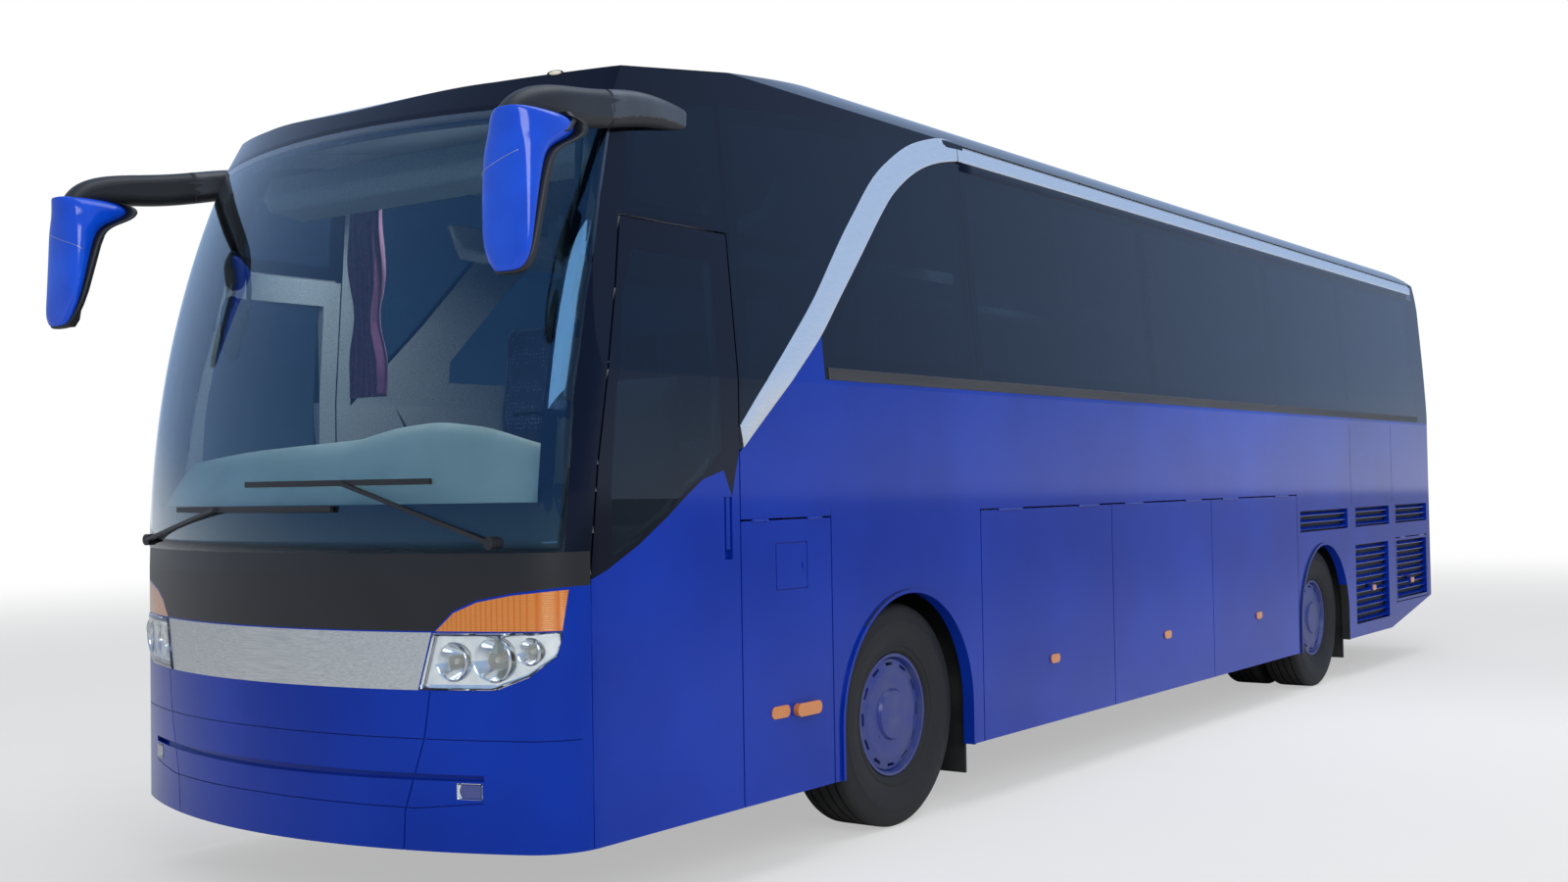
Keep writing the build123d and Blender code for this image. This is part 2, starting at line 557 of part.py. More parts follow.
# tow eyes: flat plates under the rails, drilled for an upright pin
LUG_R, LUG_W, LUG_Z = 25.0, 40.0, 490.0
LUGS = [(2345.0, 430.0), (2345.0, -430.0), (-9095.0, 0.0)]
frame = rail_bar(*FRONT_RAIL) + rail_bar(*REAR_RAIL)
for x0 in (-740, -330, 330, 900, 2000):
    frame += box(x0, x0 + 70, -RAIL_Y, RAIL_Y, RAIL_Z0 + 20, RAIL_Z1 - 20)
for x0 in (-9060, -8500, -7700, -6900, -6400, -5560):
    frame += box(x0, x0 + 70, -RAIL_Y, RAIL_Y, RAIL_Z0 - 40, RAIL_Z0 + 60)
for x, y in LUGS:
    s = 1 if x > 0 else -1
    frame += box(x - s * 150, x - s * 90, y - 40, y + 40, LUG_Z - LUG_W / 2, RAIL_Z0 + 40)
    frame += box(x - s * 150, x, y - 60, y + 60, LUG_Z - LUG_W / 2, LUG_Z + LUG_W / 2)
    frame += rod("z", (x, y, LUG_Z), LUG_W, 60)
    frame = frame - rod("z", (x, y, LUG_Z), LUG_W + 20, LUG_R)
JACK_HALF, JACK_Z = 60.0, 560.0
JACKS = [(1030.0, 1170.0), (-5610.0, -5490.0)]
for x0, x1 in JACKS:
    frame += mirrored(box(x0, x1, RAIL_Y - JACK_HALF, RAIL_Y + JACK_HALF, JACK_Z, RAIL_Z0))
save("chassis_front", frame & box(-2000, 3000, -600, 600, 300, 900))
save("chassis_rear", frame & box(-9500, -2000, -600, 600, 300, 900))

# deck, holds and the middle steps
BULK = [-735.0, -2260.0, -3800.0, -5445.0]
MID_WELL = (MID_DOOR[0] - 20, MID_DOOR[1] + 20)
floor = box(-9120, 975, -HALF + WALL + SEAT, HALF - WALL - SEAT, DECK_Z - 40, DECK_Z)
floor += box(-5440, -740, -1170, 1170, HOLD_Z - 40, HOLD_Z)
for x in BULK:
    floor += box(x - 15, x + 15, -1200, 1200, HOLD_Z - 40, DECK_Z - 10)
floor = floor - box(*MID_WELL, -1400, -420, 300, DECK_Z + 10)
for y0, y1, z in ((-1170, -900, 440), (-900, -660, 760), (-660, -420, 1080)):
    floor += box(*MID_WELL, y0, y1, z - 30, z)
    floor += box(*MID_WELL, y1 - 30, y1, z - 30, z + 320)
for x in (MID_WELL[0] - 30, MID_WELL[1]):
    floor += box(x, x + 30, -1200, -400, HOLD_Z - 40, DECK_Z - 10)
for x0 in (-8900, -7400, -5530, -720):
    floor += mirrored(box(x0, x0 + 40, RAIL_Y - 30, RAIL_Y + 30, RAIL_Z1, DECK_Z - 40))
floor = (floor & inner) - frame
save("floor_deck", floor)

# driver's platform and the front steps: inner and outer edge of each tread, and its height
FRONT_STEPS = [(-1170, -930, 400), (-930, -690, 610), (-690, -450, 820)]
platform = box(975, 990, -1200, 1200, PLATFORM_Z - 40, DECK_Z)
platform += box(980, 2330, -450, 1200, PLATFORM_Z - 40, PLATFORM_Z)
platform += box(980, 1290, -1190, -450, PLATFORM_Z - 40, PLATFORM_Z)
for y0, y1, z in FRONT_STEPS:
    platform += box(1320, 2180, y0, y1, z - 30, z)
    platform += box(1320, 2180, y1 - 30, y1, z - 30, z + 210)
platform += box(1290, 1320, -1190, -450, 370, PLATFORM_Z)
platform += box(2180, 2200, -1150, -450, 370, PLATFORM_Z)
for x0 in (1000, 2140):
    platform += mirrored(box(x0, x0 + 40, RAIL_Y - 30, RAIL_Y + 30, RAIL_Z1, PLATFORM_Z - 40))
save("driver_platform", (platform & inner) - frame)

# wheel housings and mudflaps
HOUSE_X, HOUSE_Y = 620.0, 545.0
houses = []
for x, top, y0 in ((0.0, 1150.0, WHEEL_Y - 190), (REAR_AXLE, 1130.0, 560.0)):
    h = box(x - HOUSE_X, x + HOUSE_X, HOUSE_Y - 15, HALF - WALL - SEAT, 430, top)
    h = h - box(x - HOUSE_X + 15, x + HOUSE_X - 15, HOUSE_Y, HALF, 300, top - 15)
    h = h - box(x - HOUSE_X + 15, x + HOUSE_X - 15, HOUSE_Y - 30, HOUSE_Y + 10, 300, 660)
    h += box(x - HOUSE_X, x - HOUSE_X + 15, y0, HALF - 62, 160, 440)
    houses.append(h)
save("wheel_housings", mirrored(pack(*houses)))

# axles
Z = TYRE_R
PIN_R, BOSS_R = 24.0, 46.0
beam = box(-45, 45, -KINGPIN_Y, KINGPIN_Y, Z - 60, Z + 20)
for y in (-KINGPIN_Y, KINGPIN_Y):
    beam += rod("z", (0, y, Z - 10), 150, BOSS_R)
    beam += rod("z", (0, y, Z - 10), 290, PIN_R)
beam += mirrored(box(-110, 110, RAIL_Y - 100, RAIL_Y + 100, Z + 20, Z + 36))
save("front_axle", beam)

knuckle = None
for s in (Z - 10 - 75 - 45 - 1, Z - 10 + 75 + 1):
    ear = rod("z", (0, KINGPIN_Y, s + 22.5), 45, 50) + box(-50, 50, KINGPIN_Y, KINGPIN_Y + 78, s, s + 45)
    knuckle = ear if knuckle is None else knuckle + ear
knuckle += box(-50, 50, KINGPIN_Y + 52, KINGPIN_Y + 78, Z - 131, Z + 111)
knuckle += rod("y", (0, (KINGPIN_Y + 78 + 1118) / 2 - 5, Z), 1118 - KINGPIN_Y - 78 + 10, 32)
knuckle += box(-190, -40, KINGPIN_Y + 52, KINGPIN_Y + 78, Z - 120, Z - 80)
knuckle = knuckle - rod("z", (0, KINGPIN_Y, Z), 600, PIN_R + PIN_PLAY)
save("knuckle_left", knuckle)
save("knuckle_right", other_side(knuckle))

SPINDLE_R = 45.0
housing = rod("y", (REAR_AXLE, 0, Z), 1100, 85)
housing += rod("y", (REAR_AXLE, 0, Z), 2 * 1118, SPINDLE_R)
housing += rod("x", (REAR_AXLE, 0, Z), 420, 190)
housing += mirrored(box(REAR_AXLE - 480, REAR_AXLE + 480, RAIL_Y - 45, RAIL_Y + 45, Z - 120, Z - 60))
housing += mirrored(box(REAR_AXLE - 60, REAR_AXLE + 60, RAIL_Y - 45, RAIL_Y + 45, Z - 120, Z))
save("rear_axle", housing)

springs = []
for y in (-RAIL_Y, RAIL_Y):
    springs.append(rod("z", (0, y, (Z + 36 + RAIL_Z0) / 2), RAIL_Z0 - Z - 36, 95))
    for x in (-400, 400):
        zc = (Z - 60 + RAIL_Z0) / 2
        b = rod("z", (REAR_AXLE + x, y, zc), RAIL_Z0 - Z + 60, 45)
        for dz in (-45, 0, 45):
            b += rod("z", (REAR_AXLE + x, y, zc + dz), 40, 62)
        springs.append(b)
save("air_springs", pack(*springs))

engine = box(-8840, -7500, -340, 340, RAIL_Z0 + 60, 1300)
save("engine_block", engine)

# wheels: profiles are (radius, across) pairs turned about the axle
TYRE_PROFILE = [(RIM_R, -112), (400, -149), (494, -141), (TYRE_R, -108),
                (TYRE_R, 108), (494, 141), (400, 149), (RIM_R, 112)]


def turned(points, at):
    face = Face(Wire(Polyline([(r, y, 0) for r, y in points], close=True).edges()))
    body = revolve(face, Axis.Y, 360)
    return Pos(*at) * Rot(0, 90, 0) * body


def tyre(x, y):
    return turned(TYRE_PROFILE, (x, y, Z))


def rim(x, y, disc, bore, hub0, hub1):
    """Rim, disc and hub. disc is where the disc stands across the rim."""
    r = RIM_R - SEAT
    barrel = [(r, -112), (r, 112), (r - 14, 112), (r - 32, 60), (r - 32, -60), (r - 14, -112)]
    body = turned(barrel, (x, y, Z))
    plate = turned([(bore, disc - 8), (r - 28, disc - 8), (r - 28, disc + 8), (bore, disc + 8)], (x, y, Z))
    hub = turned([(bore, hub0), (105, hub0), (105, hub1), (bore, hub1)], (x, y, Z))
    return body + plate + hub


# two-step cover that closes the outer rim: raised disc, dish and rolled outer ring
COVER = [(0, 122), (112, 120), (122, 106), (205, 102), (258, 92), (268, 70), (256, 68), (205, 84), (0, 88)]
SLOTS, SLOT_R = 12, 236.0


def cover(x, y):
    body = turned(COVER, (x, y, Z))
    for i in range(SLOTS):
        body = body - Pos(x, y + 90, Z) * Rot(0, 360 / SLOTS * i, 0) * (Pos(SLOT_R, 0, 0) * Box(14, 60, 58))
    return body


front_wheel = rim(0, WHEEL_Y, 40, 32 + PIN_PLAY, -20, 60) + cover(0, WHEEL_Y)
save("tyre_front_left", tyre(0, WHEEL_Y))
save("tyre_front_right", other_side(tyre(0, WHEEL_Y)))
save("wheel_front_left", front_wheel)
save("wheel_front_right", other_side(front_wheel))
rear_wheel = rim(REAR_AXLE, WHEEL_Y, 20, SPINDLE_R + PIN_PLAY, -20, 60)
rear_wheel += rim(REAR_AXLE, TWIN_Y, 60, SPINDLE_R + PIN_PLAY, -60, 320)
rear_wheel += cover(REAR_AXLE, WHEEL_Y)
twins = pack(tyre(REAR_AXLE, WHEEL_Y), tyre(REAR_AXLE, TWIN_Y))
save("tyres_rear_left", twins)
save("tyres_rear_right", other_side(twins))
save("wheel_rear_left", rear_wheel)
save("wheel_rear_right", other_side(rear_wheel))
print("running gear", flush=True)

# ---------------------------------------------------------------- inside
dash = side_prism([(2400, PLATFORM_Z), (2400, 1370), (2200, 1420), (1960, 1440), (1880, 1370),
                   (1960, PLATFORM_Z)], 80, 1000)
dash += box(2215, 2400, -1000, 90, PLATFORM_Z, 1370)
dash += side_prism([(2150, 1400), (2130, 1500), (1950, 1480), (1930, 1410)], 330, 790)
COLUMN = (1790.0, 560.0, 1640.0)
AX = (-0.5, 0.0, 0.8660254)
base = (COLUMN[0] - AX[0] * 330, COLUMN[1], COLUMN[2] - AX[2] * 330)
top = (COLUMN[0] - AX[0] * 30, COLUMN[1], COLUMN[2] - AX[2] * 30)
dash += bar(base, top, 60, 60)
save("dashboard", dash & inner)
wheel_plane = Plane(origin=COLUMN, x_dir=(0, 1, 0), z_dir=AX)
ring = revolve(Plane(origin=COLUMN, x_dir=(0, 1, 0), z_dir=(Vector(*AX).cross(Vector(0, 1, 0)))) *
               (Pos(225, 0) * RegularPolygon(16, 8)), Axis(COLUMN, AX), 360)
boss = extrude(wheel_plane * Circle(50), 20) + extrude(wheel_plane * Circle(50), -29.7)
spokes = extrude(wheel_plane * Rectangle(440, 34), 12) + extrude(wheel_plane * Rectangle(34, 440), 12)
save("steering_wheel", ring + boss + spokes)


def seat(x, y0, y1, floor_z, high):
    """Two-part seat on a plinth, facing forward; x is the back of its cushion."""
    s = box(x + 60, x + 380, y0 + 60, y1 - 60, floor_z, floor_z + 300)
    s += box(x, x + 470, y0, y1, floor_z + 300, floor_z + 430)
    s += side_prism([(x, floor_z + 300), (x + 100, floor_z + 400), (x + 20, floor_z + high),
                     (x - 70, floor_z + high)], y0, y1)
    return s


save("driver_seat", seat(1120, 310, 810, PLATFORM_Z, 1100))
ROWS = [200.0 - 780.0 * i for i in range(12)]
seats = []
for x in ROWS:
    for y0, y1 in ((300, 1160), (-1160, -300)):
        if y0 < 0 and MID_DOOR[0] - 480 < x < MID_DOOR[1] + 100:
            continue
        seats.append(seat(x, y0, y1, DECK_Z, 1120))
save("passenger_seats", pack(*seats))

# ---------------------------------------------------------------- mirrors
# arm: a streamlined housing; each station on its centre line, then its height and width
ARM = [((1440, 1120, 3100), 84, 60), ((1600, 1180, 3080), 108, 74), ((2080, 1262, 3018), 142, 96),
       ((2440, 1318, 2965), 130, 100), ((2590, 1322, 2925), 100, 96), ((2660, 1312, 2865), 60, 80)]
# head: level, rear and front, inner and outer edges; a shoulder reaches back under the arm
HEAD_LOW = [(2345, 2637, 2686, 1290, 1350), (2375, 2628, 2694, 1270, 1385), (2450, 2622, 2698, 1258, 1420),
            (2620, 2617, 2700, 1249, 1450), (2800, 2602, 2700, 1248, 1460)]
HEAD_TOP = [HEAD_LOW[-1], (2850, 2460, 2696, 1258, 1460), (2895, 2415, 2676, 1280, 1448),
            (2922, 2425, 2610, 1310, 1425)]
HEAD = HEAD_LOW + HEAD_TOP[1:]
RIM_DEPTH, RIM_MARGIN = 26.0, 6.0


def arm_section(at, towards, height, width):
    plane = Plane(origin=at, x_dir=Vector(0, 0, 1).cross(towards).normalized(), z_dir=towards)
    return plane * RectangleRounded(width, height, min(height, width) * 0.45)


def head_section(z, x0, x1, y0, y1):
    corner = min(x1 - x0, y1 - y0) * 0.4
    return Pos((x0 + x1) / 2, (y0 + y1) / 2, z) * RectangleRounded(x1 - x0, y1 - y0, corner)


def rim_section(z, x0, x1, y0, y1):
    """The black rim that holds the glass, behind the painted head."""
    return Pos(x0 + (RIM_DEPTH - SEAT) / 2, (y0 + y1) / 2, z) * RectangleRounded(
        RIM_DEPTH - SEAT, y1 - y0 - 2 * RIM_MARGIN, 8)


arm_faces = []
for i, (at, h, w) in enumerate(ARM):
    behind, ahead_of = Vector(*ARM[max(i - 1, 0)][0]), Vector(*ARM[min(i + 1, len(ARM) - 1)][0])
    arm_faces.append(arm_section(at, (ahead_of - behind).normalized(), h, w))
arm = loft(arm_faces) - clear
head = loft([head_section(*h) for h in HEAD_LOW]) + loft([head_section(*h) for h in HEAD_TOP], ruled=True)
rim_cut = side_prism([(x0 + RIM_DEPTH, z) for z, x0, *_ in HEAD] +
                     [(2300, HEAD[-1][0] + 9), (2300, HEAD[0][0] - 9)], 1200, 1500)
rim_plate = loft([rim_section(*h) for h in HEAD], ruled=True) - arm
save("mirror_arms", mirrored(pack(arm, rim_plate)))
save("mirror_heads", mirrored(head - arm - rim_cut))

# -------------------------------------------- swing arms of the coach doors
ARM_L, POST_Y = 600.0, 1100.0
ARM_Z = (560.0, 1440.0)


def door_gear(post_x, way, floor_z):
    """Post with two arms, and the brackets that the leaf hangs on. The arms
    lie forward (way 1) or rearward (way -1) of the post with the door shut."""
    pin_x = post_x + way * ARM_L
    post = rod("z", (post_x, POST_Y, (floor_z + SEAT + 1500) / 2), 1500 - floor_z - SEAT, 22)
    brackets = None
    for z in ARM_Z:
        post += box(pin_x, post_x, POST_Y - 20, POST_Y + 20, z - 18, z + 18)
        post += rod("z", (pin_x, POST_Y, z), 36, 30)
        post = post - rod("z", (pin_x, POST_Y, z), 80, 12 + PIN_PLAY)
        b = rod("z", (pin_x, POST_Y, z), 84, 12)
        for dz in (-33, 33):
            b += box(pin_x - 24, pin_x + 24, POST_Y - 24, HALF - WALL, z + dz - 9, z + dz + 9)
        brackets = b if brackets is None else pack(brackets, b)
    return post, brackets


# ---------------------------------------------------------------- wipers
def glass_x(y, z):
    """Where the middle of the screen stands at that place."""
    return nose_x(z) - NOSE_ROUND + sqrt(NOSE_ROUND ** 2 - y ** 2)


def blade(y0, y1, z, off0, off1, height):
    """A strip that keeps its distance from the curved glass."""
    def arc(off):
        r = NOSE_ROUND + off
        cx = nose_x(z) - NOSE_ROUND
        at = lambda y: (cx + sqrt(r * r - y * y), y, z)
        return ThreePointArc(at(y0), at((y0 + y1) / 2), at(y1)), at(y0), at(y1)
    near, n0, n1 = arc(off0)
    far, f0, f1 = arc(off1)
    return extrude(Face(Wire([near, Line(n1, f1), far, Line(f0, n0)])), height, dir=(0, 0, 1))


def wiper(pivot_y, mid_y, y0, y1, z):
    """Pivot cap, arm, and a blade whose rubber lies on the glass."""
    px = glass_x(pivot_y, 1418)
    cap = rod("x", (px + 6, pivot_y, 1422), 70, 24)
    w = cap
    w += bar((px + 30, pivot_y, 1422), (glass_x(mid_y, z) + 26, mid_y, z + 12), 24, 14)
    w += blade(y0, y1, z, 8, 22, 22)
    w += blade(y0 + 8, y1 - 8, z + 7, -12, 9, 8)
    return w - clear


wipers = [wiper(1036, 420, -105, 800, 1636), wiper(-1036, -300, -655, 378, 1540)]
save("wipers", pack(*wipers))

FRONT_POST, MID_POST = 2036.0, -5170.0
for name, leaf, panes, post_x, way, z in (("front_door", r_door, rd_glass, FRONT_POST, -1, 400.0),
                                          ("mid_door", mid_door, md_glass, MID_POST, 1, 440.0)):
    post, brackets = door_gear(post_x, way, z)
    for b in brackets.solids():
        leaf = leaf + b
    save(name, other_side(pack(leaf, panes)))
    save(name + "_arm", other_side(post))

save("indicators", indicators)
print("all done", flush=True)
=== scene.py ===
"""Looks of a two-axle touring coach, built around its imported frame.

Lengths are metres in the frame's own axes: x forward, y to the left, z up
from the road, with the origin under the middle of the coach. Heights and
widths come straight from the frame's nodes or from the sizes below."""
import json
from math import asin, cos, exp, hypot, pi, radians, sin, sqrt, tau

import bmesh
import bpy
from bpy.props import FloatProperty, IntProperty, PointerProperty
from mathutils import Matrix, Vector


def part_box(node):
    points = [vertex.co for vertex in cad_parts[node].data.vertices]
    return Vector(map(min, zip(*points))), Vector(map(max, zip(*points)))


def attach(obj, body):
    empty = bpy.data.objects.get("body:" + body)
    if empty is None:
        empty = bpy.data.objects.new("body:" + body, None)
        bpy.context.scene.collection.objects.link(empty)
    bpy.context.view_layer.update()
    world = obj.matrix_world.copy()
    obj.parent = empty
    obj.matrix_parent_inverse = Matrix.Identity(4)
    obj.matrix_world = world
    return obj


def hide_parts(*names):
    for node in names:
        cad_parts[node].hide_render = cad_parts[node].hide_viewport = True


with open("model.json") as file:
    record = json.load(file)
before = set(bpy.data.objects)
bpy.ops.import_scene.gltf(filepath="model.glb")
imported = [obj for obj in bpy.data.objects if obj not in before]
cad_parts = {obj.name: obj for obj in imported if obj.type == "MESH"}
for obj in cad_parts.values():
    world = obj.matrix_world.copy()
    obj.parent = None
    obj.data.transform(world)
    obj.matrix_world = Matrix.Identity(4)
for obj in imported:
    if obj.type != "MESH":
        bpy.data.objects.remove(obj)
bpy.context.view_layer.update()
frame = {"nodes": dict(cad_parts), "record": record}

bl_info = {
    "name": "Touring coach looks",
    "version": (1, 0, 0),
    "blender": (4, 5, 0),
    "location": "3D View > Sidebar > Coach",
    "description": "Finishes, glass, lamps, seats and studio for a touring coach",
    "category": "Object",
}

# ------------------------------------------------------------------ sizes
MM = 0.001
FRONT_AXLE = (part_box("tyre_front_left")[0][0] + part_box("tyre_front_left")[1][0]) / 2
HALF = 1.275                                  # half of the body's width below the shoulder
SHOULDER, LEAN = 2.05, 115 / 1290
NOSE_ROUND, NOSE_CORNER = 2.6, 0.26
SCREEN_FOOT, SCREEN_ROUND = 1.3, 4.1
NOSE = FRONT_AXLE + 2.655
CORNER_ANGLE = asin((HALF - NOSE_CORNER) / (NOSE_ROUND - NOSE_CORNER))
STRIP_LOW, STRIP_HIGH = 2.07, 2.125
# side edge of the windscreen: distance ahead of the front axle, height
SCREEN_EDGE = [(2.296, 1.385), (2.278, 1.607), (2.240, 1.960), (2.164, 2.323), (2.056, 2.702),
               (1.969, 2.977), (1.925, 3.090)]


def ahead(x, y, z):
    """A point whose x is measured forward from the front axle."""
    return Vector((FRONT_AXLE + x, y, z))


def half_width(z):
    """Half of the body's width at a height."""
    return HALF - max(0.0, z - SHOULDER) * LEAN


def nose_x(z):
    """Where the nose stands on the centre line."""
    if z <= SCREEN_FOOT:
        return NOSE
    return NOSE - (SCREEN_ROUND - sqrt(SCREEN_ROUND ** 2 - (z - SCREEN_FOOT) ** 2))


def front_x(y, z, depth=0.0):
    """Where the front of the body stands, depth inside its outer surface."""
    middle = nose_x(z) - NOSE_ROUND
    y = abs(y)
    if y <= NOSE_ROUND * sin(CORNER_ANGLE):
        return middle + sqrt((NOSE_ROUND - depth) ** 2 - y * y)
    r = NOSE_CORNER - depth
    corner = middle + (NOSE_ROUND - NOSE_CORNER) * cos(CORNER_ANGLE)
    return corner + sqrt(max(0.0, r * r - (y - HALF + NOSE_CORNER) ** 2))


def along_nose(s, z, depth=0.0):
    """Point on the plan outline, s along it from the centre line, positive to the left."""
    middle = nose_x(z) - NOSE_ROUND
    side = 1 if s >= 0 else -1
    s = abs(s)
    arc = NOSE_ROUND * CORNER_ANGLE
    if s <= arc:
        a = s / NOSE_ROUND
        x, y = middle + (NOSE_ROUND - depth) * cos(a), (NOSE_ROUND - depth) * sin(a)
    else:
        a = min(pi / 2, CORNER_ANGLE + (s - arc) / NOSE_CORNER)
        x = middle + (NOSE_ROUND - NOSE_CORNER) * cos(CORNER_ANGLE) + (NOSE_CORNER - depth) * cos(a)
        y = HALF - NOSE_CORNER + (NOSE_CORNER - depth) * sin(a)
    return Vector((x, side * min(y, half_width(z) - depth), z))


def on_line(points, z):
    """The first column of a (value, height) table at a height."""
    for (a, z0), (b, z1) in zip(points, points[1:]):
        if z <= z1 or (b, z1) == points[-1]:
            return a + (b - a) * (z - z0) / (z1 - z0)


def screen_reach(z):
    """How far along the plan outline the windscreen runs at a height."""
    edge = FRONT_AXLE + on_line(SCREEN_EDGE, z)
    low, high = 0.0, NOSE_ROUND * CORNER_ANGLE + NOSE_CORNER * (pi / 2 - CORNER_ANGLE)
    for _ in range(30):
        mid = (low + high) / 2
        if along_nose(mid, z).x > edge:
            low = mid
        else:
            high = mid
    return low


# -------------------------------------------------------------- materials
def linear(code):
    """An sRGB hex colour as linear red, green, blue, alpha."""
    parts = [int(code[i:i + 2], 16) / 255 for i in (0, 2, 4)]
    return (*[p / 12.92 if p <= 0.04045 else ((p + 0.055) / 1.055) ** 2.4 for p in parts], 1.0)


def add(tree, kind, settings=(), links=()):
    """Adds one shader node. Settings name its sockets or options, links feed its sockets."""
    made = tree.nodes.new(kind)
    for name, value in dict(settings).items():
        if isinstance(name, int) or name in made.inputs:
            made.inputs[name].default_value = value
        else:
            setattr(made, name, value)
    for name, source in dict(links).items():
        tree.links.new(source, made.inputs[name])
    return made


MADE = {}


def finish(name, colour, sockets=()):
    """A new material with a Principled surface; returns its tree and its shader."""
    made = bpy.data.materials.new(name)
    made.use_nodes = True
    tree = made.node_tree
    tree.nodes.clear()
    shader = add(tree, "ShaderNodeBsdfPrincipled", {"Base Color": linear(colour), **dict(sockets)})
    add(tree, "ShaderNodeOutputMaterial", links={"Surface": shader.outputs["BSDF"]})
    made.diffuse_color = linear(colour)
    MADE[name] = made
    return tree, shader


def cloud(tree, scale, detail=3.0, rough=0.5, stretch=(1, 1, 1)):
    """Noise in object space, scale being its cells in a metre."""
    place = add(tree, "ShaderNodeTexCoord")
    grid = add(tree, "ShaderNodeMapping", {"Scale": stretch}, {"Vector": place.outputs["Object"]})
    return add(tree, "ShaderNodeTexNoise", {"Scale": scale, "Detail": detail, "Roughness": rough},
               {"Vector": grid.outputs["Vector"]})


def tint(tree, shader, source, low, high, at=(0.35, 0.65)):
    """Colours the shader between two hex colours by a value."""
    ramp = add(tree, "ShaderNodeValToRGB", links={"Fac": source})
    ramp.color_ramp.elements[0].position, ramp.color_ramp.elements[1].position = at
    ramp.color_ramp.elements[0].color, ramp.color_ramp.elements[1].color = linear(low), linear(high)
    tree.links.new(ramp.outputs["Color"], shader.inputs["Base Color"])


def spread(tree, shader, source, low, high):
    """Varies the roughness between two values."""
    held = add(tree, "ShaderNodeMapRange", {"To Min": low, "To Max": high}, {"Value": source})
    tree.links.new(held.outputs["Result"], shader.inputs["Roughness"])


def relief(tree, shader, source, height, strength=1.0, socket="Normal"):
    """Raises the surface by a value; height is the full rise in metres."""
    bump = add(tree, "ShaderNodeBump", {"Strength": strength, "Distance": height}, {"Height": source})
    tree.links.new(bump.outputs["Normal"], shader.inputs[socket])


def value(tree, recipe):
    """A value over the surface. The recipe is a cloud's settings, or the kind, settings and
    output of another texture."""
    if not isinstance(recipe[0], str):
        return cloud(tree, *recipe).outputs["Fac"]
    kind, settings, output = recipe
    place = add(tree, "ShaderNodeTexCoord")
    return add(tree, "ShaderNodeTex" + kind, settings, {"Vector": place.outputs["Object"]}).outputs[output]


def coat(name, colour, sockets, grain, low, high, at=(0.35, 0.65), span=None, bump=None):
    """A finish coloured from low to high by the recipe in grain, which also moves the roughness
    over span. bump is a recipe, or None for grain itself, and its rise in millimetres."""
    tree, shader = finish(name, colour, sockets)
    seen = value(tree, grain)
    tint(tree, shader, seen, low, high, at)
    if span:
        spread(tree, shader, seen, *span)
    if bump:
        recipe, rise = bump
        relief(tree, shader, value(tree, recipe) if recipe else seen, rise * MM)
    return tree, shader


def enamels_and_metals():
    # Two-pack polyurethane enamel, sprayed and lacquered: deep blue with a wet, slightly rippled gloss. Its
    # gloss is tinted blue: a painted reflection colour.
    coat("coach_enamel", "0E33A6", {"Roughness": 0.07, "IOR": 1.5, "Specular Tint": linear("7C9CF4")},
         (1.3,), "0B2F9E", "1138B0", bump=((1 / 0.025, 1.0), 0.03))
    # The same enamel on pressed wheel covers, chalked and dusted by the road: greyer blue, half gloss.
    coat("cover_enamel", "2F3F8C", {"Roughness": 0.3, "IOR": 1.5},
         (9.0, 5.0), "26368A", "46507F", (0.35, 0.75), (0.22, 0.45))
    # The same enamel over moulded ABS mirror shells: brighter, with a shorter gloss.
    coat("shell_enamel", "084FE0", {"Roughness": 0.12, "IOR": 1.5},
         (4.0,), "0648D4", "0C56EA", bump=((1 / 0.02, 1.0), 0.03))
    # Near-black navy enamel on the roof and round the panes: it mirrors the room like the glass beside it,
    # its reflection tinted blue-grey as a painted reflection colour.
    coat("roof_enamel", "060A18", {"Roughness": 0.09, "IOR": 1.5, "Specular Tint": linear("8C9CC4")},
         (1.1,), "050812", "080D1E", bump=((1 / 0.03, 1.0), 0.03))
    # Anthracite satin enamel on the panel under the windscreen: fine texture, half-matt.
    coat("panel_enamel", "101115", {"Roughness": 0.36, "IOR": 1.5},
         (3.0,), "0E0F12", "15161A", bump=((1 / 0.004, 2.0), 0.08))
    # Rolled aluminium sheet, bead-blasted and clear-lacquered: soft silver with a faint lengthwise grain.
    coat("satin_aluminium", "F0F2F3", {"Metallic": 1.0, "Roughness": 0.34},
         (300.0, 2.0, 0.5, (0.06, 1.0, 1.0)), "EBEEF0", "F5F6F7", span=(0.31, 0.37))
    # Stainless steel sheet brushed across the coach: cool grey, with fine streaks that blur what it mirrors.
    coat("brushed_stainless", "D2D6D8", {"Metallic": 1.0, "Roughness": 0.3, "Anisotropic": 0.6},
         (260.0, 3.0, 0.6, (1.0, 0.02, 1.0)), "C0C6CA", "E2E5E6", (0.3, 0.7), (0.22, 0.4), (None, 0.05))


def glazing():
    clear = {"Transmission Weight": 1.0, "Roughness": 0.0, "IOR": 1.52}
    # Laminated safety glass, floated and bent, with a heat-reflecting metal-oxide coat: clear, glinting blue.
    coat("laminated_glass", "C8DEE6", {**clear, "Specular Tint": linear("7FBCF2")}, (0.9,),
         "C2DAE4", "CEE2EA")
    # Toughened solar-control glass: dark blue-grey in the melt, with a metal-oxide coat that mirrors blue.
    coat("privacy_glass", "2B3A46", {**clear, "Specular Tint": linear("8FB6E6")}, (0.8,), "26343F", "314352")
    # Ceramic frit fired on to the inside of the glass: dense black with a fine screen-printed tooth.
    coat("ceramic_band", "0A0B0D", {"Roughness": 0.5, "IOR": 1.5}, (300.0,), "08090B", "101114")


